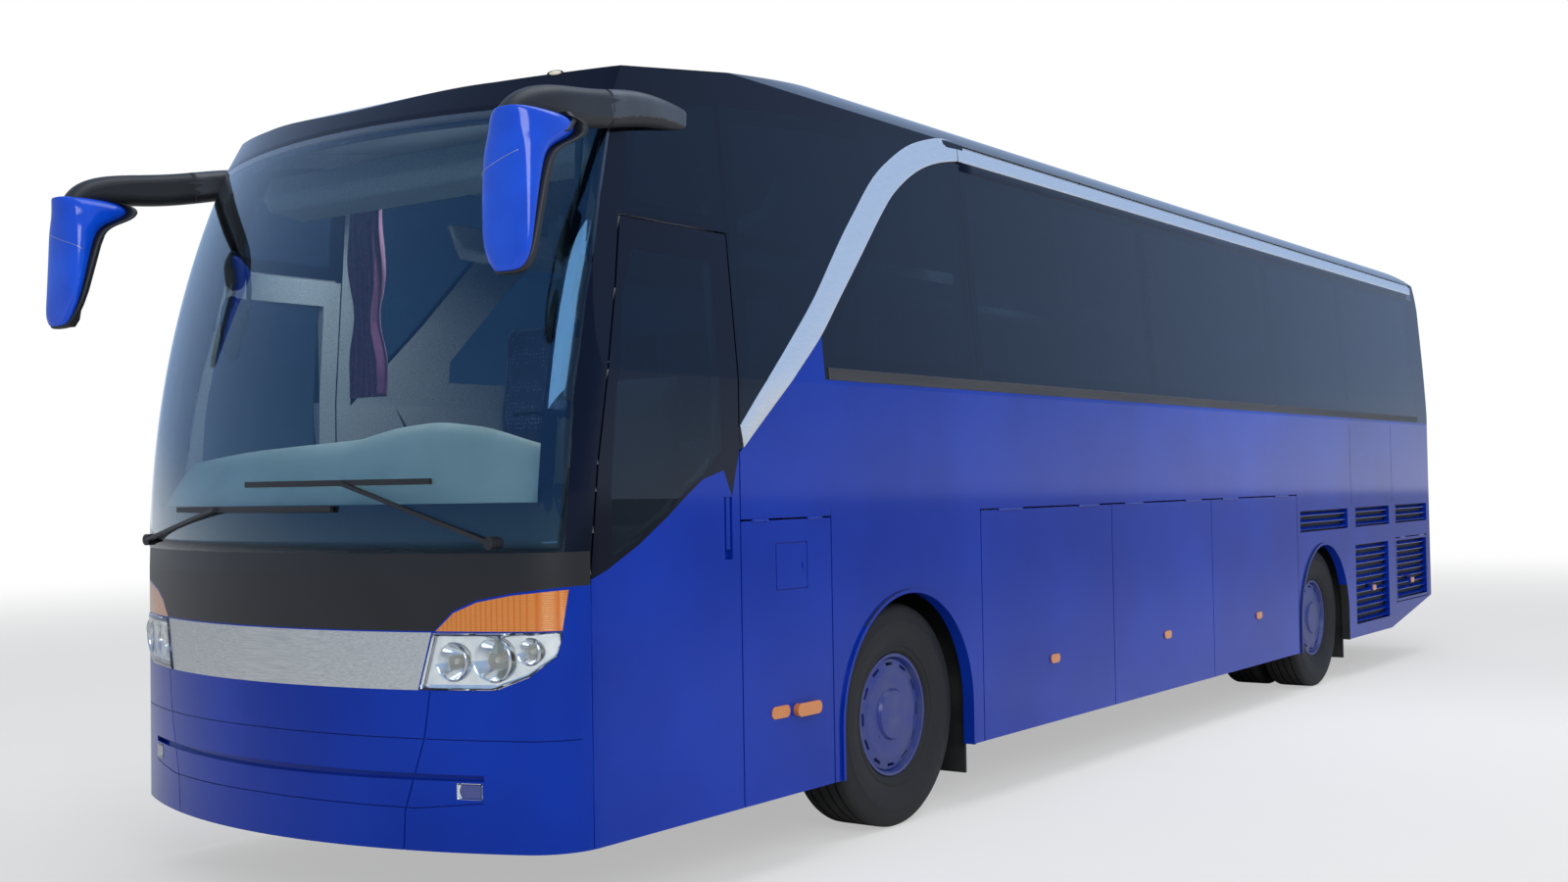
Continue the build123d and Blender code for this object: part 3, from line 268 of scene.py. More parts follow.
def castings_and_mouldings():
    # Stone-chip enamel over cast and pressed steel: dull black, lightly pebbled and dusty.
    coat("cast_black", "1B1C1E", {"Roughness": 0.6, "IOR": 1.5},
         (6.0, 5.0), "161719", "2B2A28", (0.4, 0.75), (0.5, 0.75), ((220.0, 2.0), 0.4))
    # Glass-filled nylon, moulded with a spark-eroded grain: charcoal, low sheen.
    coat("moulded_black", "17181B", {"Roughness": 0.5, "IOR": 1.53},
         (5.0,), "141518", "1D1E22", bump=((1 / 0.0025, 1.0), 0.12))
    # ABS arm covers, moulded and painted satin grey over the black.
    coat("moulded_grey", "3C3F46", {"Roughness": 0.36, "IOR": 1.5},
         (5.0,), "34373D", "464A52", bump=((1 / 0.003, 1.0), 0.08))
    # PVC skin foamed on to the dashboard: light grey-green, hide-grained, nearly matt.
    coat("dash_skin", "CBD6CC", {"Roughness": 0.55, "IOR": 1.52}, (3.0,), "C2CEC4", "D4DED6",
         bump=(("Voronoi", {"Scale": 1 / 0.005}, "Distance"), 0.3))
    # Carbon-black tyre rubber, cured in a steel mould: brown-black, dry on the tread, waxy on the wall.
    coat("road_rubber", "18181A", {"Roughness": 0.72, "IOR": 1.52},
         (9.0, 5.0), "131314", "242220", (0.4, 0.75), (0.6, 0.85), ((400.0, 2.0), 0.25))
    # Fabric-reinforced chloroprene bellows: matt black with the cord faintly showing.
    coat("bellows_rubber", "141415", {"Roughness": 0.7, "IOR": 1.52},
         ("Wave", {"Scale": 80.0, "Distortion": 0.6}, "Fac"), "111112", "1B1B1C", bump=(None, 0.3))
    # Extruded EPDM glazing gasket: dense black with a dry sheen.
    coat("gasket_rubber", "0D0D0E", {"Roughness": 0.55, "IOR": 1.52},
         (30.0, 3.0, 0.5, (0.1, 1, 1)), "0B0B0C", "141415")
    # Co-extruded PVC waist moulding: dark grey-brown.
    coat("waist_moulding", "36322F", {"Roughness": 0.45, "IOR": 1.53},
         (12.0, 3.0, 0.5, (0.08, 1, 1)), "302D2B", "3D3936")


PRISM = (1 / 0.011, 1 / 0.011, 1 / 0.008)     # prisms in a metre: 11 mm wide and 8 mm high


def prism_lens(name, low, high):
    """Acrylic lamp lens moulded with a grid of prisms on its back; its colour is painted light and shade,
    darker at each prism's edges and lighter in its middle.
    """
    tree, shader = finish(name, low, {"Transmission Weight": 0.25, "Roughness": 0.12, "IOR": 1.49,
                                      "Coat Weight": 1.0, "Coat Roughness": 0.03})
    place = add(tree, "ShaderNodeTexCoord")
    cells = add(tree, "ShaderNodeMapping", {"Scale": PRISM}, {"Vector": place.outputs["Object"]})
    split = add(tree, "ShaderNodeSeparateXYZ", links={"Vector": cells.outputs["Vector"]})
    across = add(tree, "ShaderNodeMath", {"operation": "ADD"}, {0: split.outputs["X"], 1: split.outputs["Y"]})
    waves = [add(tree, "ShaderNodeMath", {"operation": "PINGPONG", 1: 0.5}, {0: source}).outputs["Value"]
             for source in (across.outputs["Value"], split.outputs["Z"])]
    least = add(tree, "ShaderNodeMath", {"operation": "MINIMUM"}, {0: waves[0], 1: waves[1]})
    # painted light and shade: each prism's edges are darkened and its middle lightened
    tint(tree, shader, least.outputs["Value"], low, high, (0.02, 0.3))
    relief(tree, shader, least.outputs["Value"], 2.0 * MM)


def lamps():
    # Polycarbonate headlamp lens, moulded and hard-coated: water-clear with a sharp gloss.
    tree, shader = finish("clear_lens", "F2F6F8",
                          {"Transmission Weight": 1.0, "Roughness": 0.02, "IOR": 1.58})
    relief(tree, shader, value(tree, (12.0, 1.0)), 0.3 * MM)
    # Vacuum-metallised reflector: aluminium flashed on moulded plastic, mirror-bright and faintly uneven.
    tree, shader = coat("lamp_plate", "F8FAFB", {"Metallic": 1.0, "Roughness": 0.14}, (20.0,),
                        "E6EAED", "F6F8F9")
    spread(tree, shader, value(tree, (35.0,)), 0.1, 0.2)
    # Orange and red acrylic, each moulded with prisms that break the light into a fine grid.
    prism_lens("orange_lens", "F07C12", "FFA63C")
    prism_lens("red_lens", "7A0508", "C41216")
    # Warm white opal acrylic, moulded.
    coat("opal_lens", "F2E6CC", {"Roughness": 0.2, "IOR": 1.49, "Coat Weight": 1.0}, (60.0,),
         "E9DABB", "F8EFDA")


def cloth_and_trim():
    # Wool-nylon moquette, cut-pile woven: slate blue with a small even fleck.
    coat("moquette", "2C3450", {"Roughness": 0.9, "Sheen Weight": 0.35, "Sheen Roughness": 0.4},
         ("Voronoi", {"Scale": 1 / 0.022, "Randomness": 0.35}, "Distance"), "5B6488", "262C44", (0.12, 0.3),
         bump=((1 / 0.0022, 2.0), 0.6))
    # Flat-woven polyester cover on the driver's seat: mid grey, fine ribs 4 mm apart.
    coat("driver_cloth", "5A5E64", {"Roughness": 0.88, "Sheen Weight": 0.25},
         ("Wave", {"Scale": 1 / 0.004 / 6.28, "Distortion": 0.3, "bands_direction": "Y"}, "Fac"),
         "4C5056", "6A6E74", bump=(None, 0.5))
    # Plain-woven polyester curtain, dyed plum, its threads 3 mm apart: soft, slightly translucent.
    coat("curtain_cloth", "5E2C4E", {"Roughness": 0.85, "Sheen Weight": 0.3, "Transmission Weight": 0.1},
         (1 / 0.003, 1.0, 0.5, (1, 1, 0.15)), "522545", "6E365C", bump=(None, 0.3))
    # Needle-felt lining glued to the cabin's panels: cool mid grey, matt.
    coat("cabin_lining", "8E9296", {"Roughness": 0.95, "IOR": 1.45},
         (1 / 0.006, 4.0), "82868A", "9A9EA2", bump=(None, 0.5))
    # PVC floor covering with a flecked wear layer: dark grey, slightly scuffed.
    coat("studded_floor", "303236", {"Roughness": 0.6, "IOR": 1.52},
         ("Voronoi", {"Scale": 1 / 0.012}, "Distance"), "4A4D52", "2A2C30", (0.05, 0.25))
    # Silvered float glass: a clean mirror with a thin bluish edge.
    coat("mirror_glass", "DDE6EA", {"Metallic": 1.0, "Roughness": 0.02}, (3.0,), "D6E0E5", "E2EAEE")
    # Chrome-plated zinc, satin: bezels, door arms and rails.
    coat("satin_chrome", "C8CBCE", {"Metallic": 1.0, "Roughness": 0.18}, (40.0,), "BEC2C6", "D2D5D8")


def all_materials():
    for make in (enamels_and_metals, glazing, castings_and_mouldings, lamps, cloth_and_trim):
        make()


# ------------------------------------------------------------ mesh helpers
def piece(name, points, faces, material, body="body", smooth=True):
    """A mesh piece riding on a CAD body."""
    mesh = bpy.data.meshes.new(name)
    mesh.from_pydata([tuple(p) for p in points], [], faces)
    mesh.materials.append(MADE[material])
    mesh.polygons.foreach_set("use_smooth", [smooth] * len(mesh.polygons))
    mesh.validate()
    made = bpy.data.objects.new(name, mesh)
    bpy.context.scene.collection.objects.link(made)
    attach(made, body)
    return made


def outward(obj):
    """Turns the faces of a closed mesh outwards."""
    bm = bmesh.new()
    bm.from_mesh(obj.data)
    bmesh.ops.remove_doubles(bm, verts=bm.verts, dist=1e-6)
    bmesh.ops.recalc_face_normals(bm, faces=bm.faces)
    bm.to_mesh(obj.data)
    bm.free()
    return obj


def modified(obj, kind, **settings):
    """Adds a modifier and applies it."""
    added = obj.modifiers.new(kind.lower(), kind)
    for name, value in settings.items():
        setattr(added, name, value)
    with bpy.context.temp_override(object=obj, active_object=obj, selected_objects=[obj]):
        bpy.ops.object.modifier_apply(modifier=added.name)
    return obj


def creased(obj, angle):
    """Smooth shading with sharp edges past an angle."""
    with bpy.context.temp_override(object=obj, active_object=obj, selected_objects=[obj],
                                   selected_editable_objects=[obj]):
        bpy.ops.object.shade_smooth_by_angle(angle=radians(angle))
    return obj


def grid_faces(rows, columns, start=0, wrap=False):
    """Quads over a grid of points laid row by row."""
    faces = []
    for i in range(rows - 1):
        for j in range(columns if wrap else columns - 1):
            k = (j + 1) % columns
            faces.append((start + i * columns + j, start + i * columns + k,
                          start + (i + 1) * columns + k, start + (i + 1) * columns + j))
    return faces


def turned(profile, centre, axis, segments, side=1):
    """Points and faces of a (radius, along) profile turned about a line through centre, along x or y."""
    points = []
    for r, t in profile:
        for i in range(segments):
            a = tau * i / segments
            u, v = r * cos(a), r * sin(a)
            points.append(Vector(centre) + Vector((side * t, u, v) if axis == "x" else (u, side * t, v)))
    return points, grid_faces(len(profile), segments, wrap=True)


def joined(parts):
    """Several (points, faces) lists as one."""
    points, faces = [], []
    for p, f in parts:
        start = len(points)
        points += p
        faces += [tuple(start + i for i in face) for face in f]
    return points, faces


def stacked(rings):
    """A closed form through rings of equally many points."""
    count, points = len(rings[0]), [p for ring in rings for p in ring]
    faces = grid_faces(len(rings), count, wrap=True)
    return points, faces + [tuple(range(count)), tuple(range(len(points) - 1, len(points) - count - 1, -1))]


def swept(path, section):
    """A section of (across, up) points carried along a path, kept upright."""
    points = []
    count, n = len(path), len(section)
    for i, at in enumerate(path):
        way = (path[min(i + 1, count - 1)] - path[max(i - 1, 0)]).normalized()
        lead = Vector((0, 0, 1)) if abs(way.z) < 0.95 else Vector((1, 0, 0))
        across = way.cross(lead).normalized()
        up = across.cross(way)
        points += [at + across * a + up * b for a, b in section]
    ends = [tuple(range(n))[::-1], tuple((count - 1) * n + j for j in range(n))]
    return points, grid_faces(count, n, wrap=True) + ends


def through(points, steps):
    """Points on a smooth curve through others, steps to each span."""
    dense = []
    for i in range(len(points) - 1):
        a, b = points[max(i - 1, 0)], points[i]
        c, d = points[i + 1], points[min(i + 2, len(points) - 1)]
        for k in range(steps):
            t = k / steps
            dense.append(tuple(0.5 * (2 * q + (r - p) * t + (2 * p - 5 * q + 4 * r - w) * t * t +
                                      (3 * q - p - 3 * r + w) * t ** 3) for p, q, r, w in zip(a, b, c, d)))
    return dense + [points[-1]]


def rounded(a, squareness):
    """The point at an angle on a rounded square of half width 1."""
    swell = (abs(cos(a)) ** squareness + abs(sin(a)) ** squareness) ** (-1 / squareness)
    return swell * cos(a), swell * sin(a)


def oval(width, height, sides=10):
    """A rounded section for sweeping."""
    return [(width / 2 * cos(tau * i / sides), height / 2 * sin(tau * i / sides)) for i in range(sides)]


def chain(points, t):
    """The point a fraction t along a list of (y, z) pairs."""
    lengths = [hypot(b[0] - a[0], b[1] - a[1]) for a, b in zip(points, points[1:])]
    left = t * sum(lengths)
    for (a, b), d in zip(zip(points, points[1:]), lengths):
        if left <= d or b is points[-1]:
            k = left / d if d else 0.0
            return a[0] + (b[0] - a[0]) * k, a[1] + (b[1] - a[1]) * k
        left -= d


def inside(polygon, u, v):
    """Whether a point lies in a polygon of (u, v) pairs."""
    hit = False
    for (a, b), (c, d) in zip(polygon, polygon[1:] + polygon[:1]):
        if (b > v) != (d > v) and u < (c - a) * (v - b) / (d - b) + a:
            hit = not hit
    return hit


def mirrored(points, faces):
    """The same surface on the other side of the coach as well."""
    other = [Vector((p.x, -p.y, p.z)) for p in points], [tuple(reversed(f)) for f in faces]
    return joined([(points, faces), other])


def both_sides(make, *given):
    """What make builds for the left side and for the right, as one surface."""
    return joined([make(*given, side) for side in (1, -1)])


def dressed(node, materials, choose):
    """A copy of a CAD node whose faces take different materials. choose(centre, normal)
    gives the material's place in the list."""
    mesh = frame["nodes"][node].data.copy()
    mesh.materials.clear()
    for m in materials:
        mesh.materials.append(MADE[m])
    mesh.polygons.foreach_set("material_index", [choose(p.center, p.normal) for p in mesh.polygons])
    made = bpy.data.objects.new(node + "_finished", mesh)
    bpy.context.scene.collection.objects.link(made)
    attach(made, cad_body(node))
    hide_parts(node)


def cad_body(node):
    """The CAD body that a node belongs to."""
    for body, nodes in frame["record"]["behaviour"]["bodies"].items():
        if node in nodes:
            return body
    raise RuntimeError(f"no body holds {node}")


# -------------------------------------------------------------- properties
class CoachStageSettings(bpy.types.PropertyGroup):
    """Studio and camera."""
    lens: FloatProperty(name="Lens", description="Focal length of the camera in millimetres", default=38.204)
    floor_tone: FloatProperty(name="Floor tone", description="How pale the floor is", default=0.8,
                              min=0, max=1)
    sky_power: FloatProperty(name="Sky", description="Strength of the soft light from all round",
                             default=0.5, min=0)
    cabin_power: FloatProperty(name="Cabin lamps", description="Power of the lamps inside the coach",
                               default=60.0, unit="POWER")
    key_power: FloatProperty(name="Key light", description="Power of the large light ahead and to the left",
                             default=900.0, unit="POWER")
    fill_power: FloatProperty(name="Fill light", description="Power of the light over the roof",
                              default=700.0, unit="POWER")


class CoachTyreSettings(bpy.types.PropertyGroup):
    """Tyres."""
    groove_depth: FloatProperty(name="Groove depth", description="Depth of the tread grooves", default=0.014,
                                unit="LENGTH")
    segments: IntProperty(name="Segments", description="Segments round a tyre", default=144, min=48, max=256)


class CoachCurtainSettings(bpy.types.PropertyGroup):
    """Curtain."""
    fold_depth: FloatProperty(name="Fold depth", description="Depth of a curtain's folds", default=0.022,
                              unit="LENGTH")


# --------------------------------------------------------------- operators
NODE_FINISH = {
    "coach_enamel": ("front_bumper", "engine_lid"),
    "roof_enamel": ("screen_frame",),
    "panel_enamel": ("front_face",),
    "brushed_stainless": ("front_strip",),
    "privacy_glass": ("side_glass", "rear_window"),
    "cast_black": ("chassis_front", "chassis_rear", "front_axle", "rear_axle", "knuckle_left",
                   "knuckle_right", "engine_block", "wheel_housings"),
    "moulded_black": ("wipers", "steering_wheel"),
    "dash_skin": ("dashboard",),
    "bellows_rubber": ("air_springs",),
    "studded_floor": ("floor_deck", "driver_platform"),
    "satin_chrome": ("front_door_arm", "mid_door_arm"),
    "orange_lens": ("indicators",),
}


class COACH_OT_finish_nodes(bpy.types.Operator):
    """Give every carried-over node its finish"""
    bl_idname = "coach.finish_nodes"
    bl_label = "Finish the frame's nodes"

    def execute(self, context):
        all_materials()
        for material, nodes in NODE_FINISH.items():
            for name in nodes:
                for place in frame["nodes"][name].material_slots:
                    place.link = "OBJECT"
                    place.material = MADE[material]
        return {"FINISHED"}


DECK, MID_HEIGHT = 1.4, 2.3                   # the cabin's floor, and the middle of its height


def faces_in(centre, normal):
    """Whether a face of the shell looks into the cabin."""
    return normal.y * centre.y + normal.z * (centre.z - MID_HEIGHT) + 0.3 * normal.x * centre.x < -0.25


class COACH_OT_shell(bpy.types.Operator):
    """Line the roof and the walls inside"""
    bl_idname = "coach.shell"
    bl_label = "Shell"

    def execute(self, context):
        for node in ("roof", "window_bands", "roof_hatch_front", "roof_hatch_rear"):
            dressed(node, ("roof_enamel", "cabin_lining"), lambda c, n: 1 if faces_in(c, n) else 0)
        for node in ("side_wall_left", "side_wall_right"):
            dressed(node, ("coach_enamel", "cabin_lining", "cast_black"),
                    lambda c, n: 0 if not faces_in(c, n) else 1 if c.z > DECK else 2)
        return {"FINISHED"}


# the doors' panes and the line between blue and black: ahead of the front axle, height
PANE_FRONT = [(2.045, 1.966), (1.98, 2.336), (1.905, 2.52)]
DOOR_PANE = [(1.42, 1.753), (1.537, 1.66), (1.644, 1.596), (1.76, 1.519), (1.93, 1.418), (2.08, 1.34),
             (2.085, 1.605), *PANE_FRONT, (1.42, 2.52)]
FRONT_DOOR_PANES = [[(1.4, 0.62), (2.1, 0.62), (2.1, 1.39), (1.4, 1.39)],
                    [(1.4, 1.49), (2.085, 1.49), *PANE_FRONT, (1.4, 2.52)]]
MID_DOOR_PANES = [[(-5.22, z0), (-4.59, z0), (-4.59, z1), (-5.22, z1)] for z0, z1 in
                  ((0.76, 1.39), (1.49, 2.04), (2.11, 2.50))]
SWOOSH_TOP = 1.64
SWOOSH = [(2.2, 1.28), (2.11, 1.312), (1.93, 1.398), (1.76, 1.499), (1.644, 1.576), (1.54, SWOOSH_TOP),
          (1.28, SWOOSH_TOP)]
LEAF_SKIN = 25 * MM                           # what lies deeper in a door is lined


def pane_at(panes, centre, normal):
    """Whether a face of a door is glass."""
    return abs(normal.y) > 0.6 and any(inside(p, centre.x - FRONT_AXLE, centre.z) for p in panes)


def above_swoosh(centre):
    """Whether a face of a door is above the black's lower edge."""
    x = centre.x - FRONT_AXLE
    for (a, za), (b, zb) in zip(SWOOSH, SWOOSH[1:]):
        if b <= x <= a:
            return centre.z > za + (zb - za) * (x - a) / (b - a)
    return centre.z > SWOOSH_TOP


class COACH_OT_doors(bpy.types.Operator):
    """Finish the doors: enamel below, black round the glass"""
    bl_idname = "coach.doors"
    bl_label = "Doors"

    def execute(self, context):
        def leaf(panes, is_black):
            def choose(c, n):
                if pane_at(panes, c, n):
                    return 2
                if n.y * c.y < -0.3 or abs(c.y) < flank_y(c.z) - LEAF_SKIN:
                    return 3
                return 1 if is_black(c) else 0
            return choose

        coats = ("coach_enamel", "roof_enamel", "privacy_glass", "cabin_lining")
        dressed("driver_door", coats, leaf([DOOR_PANE], above_swoosh))
        dressed("front_door", coats, leaf(FRONT_DOOR_PANES, above_swoosh))
        dressed("mid_door", coats, leaf(MID_DOOR_PANES, lambda c: c.z > STRIP_LOW))
        return {"FINISHED"}


LIDS = [f"luggage_flap_{place}" for place in ("left_1", "left_2", "left_3", "right_1", "right_2")]
LIDS += ["service_flap_left", "side_grilles", "grille_lid_left", "grille_lid_right"]
LAMP_PROUD, LAMP_BELOW = 0.8 * MM, 0.8        # side lamps stand out of the flank, under this height


class COACH_OT_lids(bpy.types.Operator):
    """Finish the flaps and grilles with their side lamps"""
    bl_idname = "coach.lids"
    bl_label = "Flaps and grilles"

    def execute(self, context):
        for node in LIDS:
            dressed(node, ("coach_enamel", "orange_lens"),
                    lambda c, n: 1 if abs(c.y) > HALF + LAMP_PROUD and c.z < LAMP_BELOW else 0)
        return {"FINISHED"}


AMBER_ABOVE = 1.19                            # the tail lamps are orange over this height


class COACH_OT_rear(bpy.types.Operator):
    """Finish the rear wall and its lamps"""
    bl_idname = "coach.rear"
    bl_label = "Rear"

    def execute(self, context):
        dressed("rear_wall", ("coach_enamel", "roof_enamel"), lambda c, n: 1 if c.z > STRIP_LOW else 0)
        dressed("tail_lamps", ("red_lens", "orange_lens"), lambda c, n: 1 if c.z > AMBER_ABOVE else 0)
        return {"FINISHED"}


class COACH_OT_windscreen(bpy.types.Operator):
    """Build the bent windscreen and the printed band inside its edge"""
    bl_idname = "coach.windscreen"
    bl_label = "Windscreen"

    def execute(self, context):
        rows, columns = 40, 72
        points = []
        for i in range(rows):
            z = SCREEN_LOW + (SCREEN_HIGH - SCREEN_LOW) * i / (rows - 1)
            reach = screen_reach(z)
            points += [along_nose(reach * (2 * j / (columns - 1) - 1), z) for j in range(columns)]
        faces = [tuple(reversed(f)) for f in grid_faces(rows, columns)]
        screen = outward(piece("windscreen_glass", points, faces, "laminated_glass"))
        modified(screen, "SOLIDIFY", thickness=6 * MM, offset=-1)
        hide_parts("windscreen")
        piece("screen_band", *joined(band_strips()), "ceramic_band")
        return {"FINISHED"}


SCREEN_LOW, SCREEN_HIGH = 1.385, 3.078
BAND_SIDE, BAND_TOP, BAND_FOOT = 0.055, 0.035, 1.565
BAND_DEPTH, BAND_MARGIN = 8.5 * MM, 0.003


def screen_strip(rows, reach_low, reach_high, low, high, columns):
    """A patch behind the glass between two places along its reach."""
    points = []
    for i in range(rows):
        z = low + (high - low) * i / (rows - 1)
        reach = screen_reach(z)
        a, b = reach_low(reach), reach_high(reach)
        points += [along_nose(a + (b - a) * j / (columns - 1), z, BAND_DEPTH) for j in range(columns)]
    return points, grid_faces(rows, columns)


def band_strips():
    """The printed border: foot, head and both sides."""
    edge, rim = (lambda r: r - BAND_MARGIN), (lambda r: r - BAND_SIDE)
    top = SCREEN_HIGH - BAND_TOP
    ends = (SCREEN_LOW + BAND_MARGIN, BAND_FOOT), (top, SCREEN_HIGH - BAND_MARGIN)
    sides = [screen_strip(40, rim, edge, BAND_FOOT, top, 3),
             screen_strip(40, lambda r: -edge(r), lambda r: -rim(r), BAND_FOOT, top, 3)]
    return sides + [screen_strip(6, lambda r: -edge(r), edge, z0, z1, 60) for z0, z1 in ends]


# node, the body it turns with, side, how many tyres
TYRES = [("tyre_front_left", "wheel_front_left", 1, 1), ("tyre_front_right", "wheel_front_right", -1, 1),
         ("tyres_rear_left", "wheel_rear_left", 1, 2), ("tyres_rear_right", "wheel_rear_right", -1, 2)]
TYRE_HALF, TWIN_PITCH = 0.149, 0.338


class COACH_OT_tyres(bpy.types.Operator):
    """Build tyres with grooved treads and ringed walls"""
    bl_idname = "coach.tyres"
    bl_label = "Tyres"

    def execute(self, context):
        s = context.scene.coach_tyres
        radius = (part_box("tyre_front_left")[1][2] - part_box("tyre_front_left")[0][2]) / 2
        for node, body, side, count in TYRES:
            low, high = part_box(node)
            x = (low[0] + high[0]) / 2
            outer = high[1] if side > 0 else -low[1]
            parts = []
            for k in range(count):
                y = outer - TYRE_HALF - TWIN_PITCH * k
                profile = tyre_profile(radius, s.groove_depth)
                parts.append(turned(profile, (x, side * y, radius), "y", s.segments, side))
            made = outward(piece(node + "_tread", *joined(parts), "road_rubber", body))
            creased(made, 30)
            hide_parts(node)
        return {"FINISHED"}


# the sidewall from bead to shoulder: radius, half width; the tread's grooves: middle, width
WALL = [(0.287, 0.105), (0.300, 0.122), (0.318, 0.128), (0.322, 0.133), (0.330, 0.133), (0.334, 0.131),
        (0.372, 0.145), (0.405, 0.1488), (0.430, 0.1480), (0.434, 0.1485), (0.440, 0.1485),
        (0.444, 0.1468), (0.470, 0.143), (0.488, 0.139), (0.504, 0.134)]
GROOVES = ((0.078, 0.012), (0.027, 0.014), (-0.027, 0.014), (-0.078, 0.012))


def tyre_profile(radius, groove):
    """(radius, across) pairs from one bead, over the tread, to the other."""
    wall = [*WALL, (radius - 0.006, 0.124)]
    tread = [(radius - 0.001, 0.112)]
    for middle, width in GROOVES:
        top, foot = width / 2 + 0.001, width / 2 - 0.001
        for edge, rise in ((top, 0), (foot, -groove), (-foot, -groove), (-top, 0)):
            tread.append((radius + rise, middle + edge))
    tread.append((radius - 0.001, -0.112))
    return wall + tread + [(r, -t) for r, t in reversed(wall)]


COVER_DEPTH = 0.062                           # how far in from a wheel's outer face its cover reaches


class COACH_OT_wheels(bpy.types.Operator):
    """Finish the wheels: blue covers over black rims"""
    bl_idname = "coach.wheels"
    bl_label = "Wheels"

    def execute(self, context):
        for _, node, _, _ in TYRES:
            edge = max(abs(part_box(node)[0][1]), abs(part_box(node)[1][1])) - COVER_DEPTH
            dressed(node, ("cover_enamel", "cast_black"), lambda c, n: 0 if abs(c.y) > edge else 1)
        return {"FINISHED"}


class COACH_OT_lamps(bpy.types.Operator):
    """Build the headlamps: clear lens, bowls, bulbs"""
    bl_idname = "coach.lamps"
    bl_label = "Headlamps"

    def execute(self, context):
        headlamps()
        return {"FINISHED"}


# edges of the lamps' openings in the nose: across, height
LAMP_TOP = [(0.802, 1.097), (1.230, 1.097)]
LAMP_LOW = [(0.747, 0.892), (1.030, 0.894), (1.145, 0.942), (1.219, 1.011), (1.229, 1.06)]
# bowls: across, height, radius, depth
BOWLS = [(0.862, 0.992, 0.066, 0.075), (1.012, 1.002, 0.078, 0.085), (1.135, 1.030, 0.045, 0.05)]
BOWL_SET = 0.020                              # how far behind the lens the bowls' rims lie
FOG_TOP, FOG_LOW = [(0.886, 0.559), (0.979, 0.559)], [(0.886, 0.501), (0.979, 0.501)]
FOG_MIDDLE, FOG_RADIUS = (0.932, 0.53), 0.04
# turned profiles: radius, place behind the nose
BULB = [(0.0001, -0.030), (0.008, -0.032), (0.012, -0.038), (0.012, -0.060), (0.007, -0.095)]
RING = [(-0.003, -0.022), (0.001, -0.014), (0.005, -0.014), (0.006, -0.024)]


def front_patch(top, low, rows, columns, depth):
    """A patch of the nose between two edges; depth(y, z) is how far inside it lies."""
    points = []
    for i in range(rows):
        for j in range(columns):
            u, v = j / (columns - 1), i / (rows - 1)
            (ya, za), (yb, zb) = chain(low, u), chain(top, u)
            y, z = ya + (yb - ya) * v, za + (zb - za) * v
            points.append(Vector((front_x(y, z) - depth(y, z), y, z)))
    return points, [tuple(reversed(f)) for f in grid_faces(rows, columns)]


def bowl_depth(y, z):
    """How far inside the nose the headlamp's reflector lies."""
    depth = BOWL_SET
    for cy, cz, r, deep in BOWLS:
        q = hypot(y - cy, z - cz) / r
        if q < 1:
            depth = max(depth, BOWL_SET + deep * (1 - q * q))
    return depth


def fog_depth(y, z):
    """The same for the fog lamp's."""
    return 0.008 + 0.03 * max(0, 1 - (hypot(y - FOG_MIDDLE[0], z - FOG_MIDDLE[1]) / FOG_RADIUS) ** 2)


def front_piece(name, material, *patch):
    """A patch of the nose on both sides."""
    return piece(name, *mirrored(*front_patch(*patch)), material)


def headlamps():
    """Lenses, bowls, rings and bulbs on both sides, and the fog lamps."""
    lens = front_piece("headlamp_lenses", "clear_lens", LAMP_TOP, LAMP_LOW, 12, 30, lambda y, z: 0.0)
    modified(lens, "SOLIDIFY", thickness=4 * MM, offset=-1)
    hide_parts("headlamps")
    front_piece("headlamp_bowls", "lamp_plate", LAMP_TOP, LAMP_LOW, 70, 130, bowl_depth)
    rings, bulbs = [], []
    for y, z, radius, _ in BOWLS:
        at = (front_x(y, z), y, z)
        rings.append(turned([(radius + r, t) for r, t in RING], at, "x", 48))
        bulbs.append(turned(BULB, at, "x", 24))
    piece("headlamp_rings", *mirrored(*joined(rings)), "satin_chrome")
    piece("headlamp_bulbs", *mirrored(*joined(bulbs)), "opal_lens")
    fog = front_piece("fog_lenses", "clear_lens", FOG_TOP, FOG_LOW, 8, 12, lambda y, z: 0.001)
    modified(fog, "SOLIDIFY", thickness=3 * MM, offset=-1)
    front_piece("fog_bowls", "lamp_plate", FOG_TOP, FOG_LOW, 16, 24, fog_depth)


# mirror heads: the front's place ahead of the axle, half depth of the rim
HEAD_FRONT, HEAD_RIM = 2.698, 0.022
HEAD_SQUARE, RIM_SQUARE = 2.6, 3.2
GLASS_LOW, GLASS_HIGH, GLASS_SHARE = 2.39, 2.77, 0.84
RIM_DROP, RIM_DROP_BELOW = 0.010, 2.6
# the seam's first angle, sweep, foot and rise
SEAM_FROM, SEAM_SWEEP, SEAM_FOOT, SEAM_RISE = -80, 118, 2.672, 0.080
# from the head's foot up: height, half depth, half width, middle across
HEAD_LEVELS = [(2.347, 0.012, 0.045, 1.358), (2.362, 0.016, 0.072, 1.358), (2.395, 0.020, 0.096, 1.357),
               (2.440, 0.026, 0.109, 1.348), (2.500, 0.034, 0.116, 1.342), (2.600, 0.047, 0.119, 1.339),
               (2.700, 0.061, 0.120, 1.338), (2.765, 0.074, 0.119, 1.339), (2.800, 0.104, 0.118, 1.340),
               (2.828, 0.138, 0.117, 1.341), (2.860, 0.156, 0.116, 1.342), (2.886, 0.154, 0.110, 1.346),
               (2.904, 0.132, 0.092, 1.352), (2.912, 0.090, 0.060, 1.356)]
# inner mirrors: middle ahead of the axle, across, height, half width, half height
INNER_MIRRORS = [(2.10, -0.91, 2.600, 0.070, 0.085), (2.09, -0.955, 2.350, 0.070, 0.145),
                 (2.09, 1.045, 2.560, 0.050, 0.085), (2.08, 1.020, 2.280, 0.050, 0.130)]
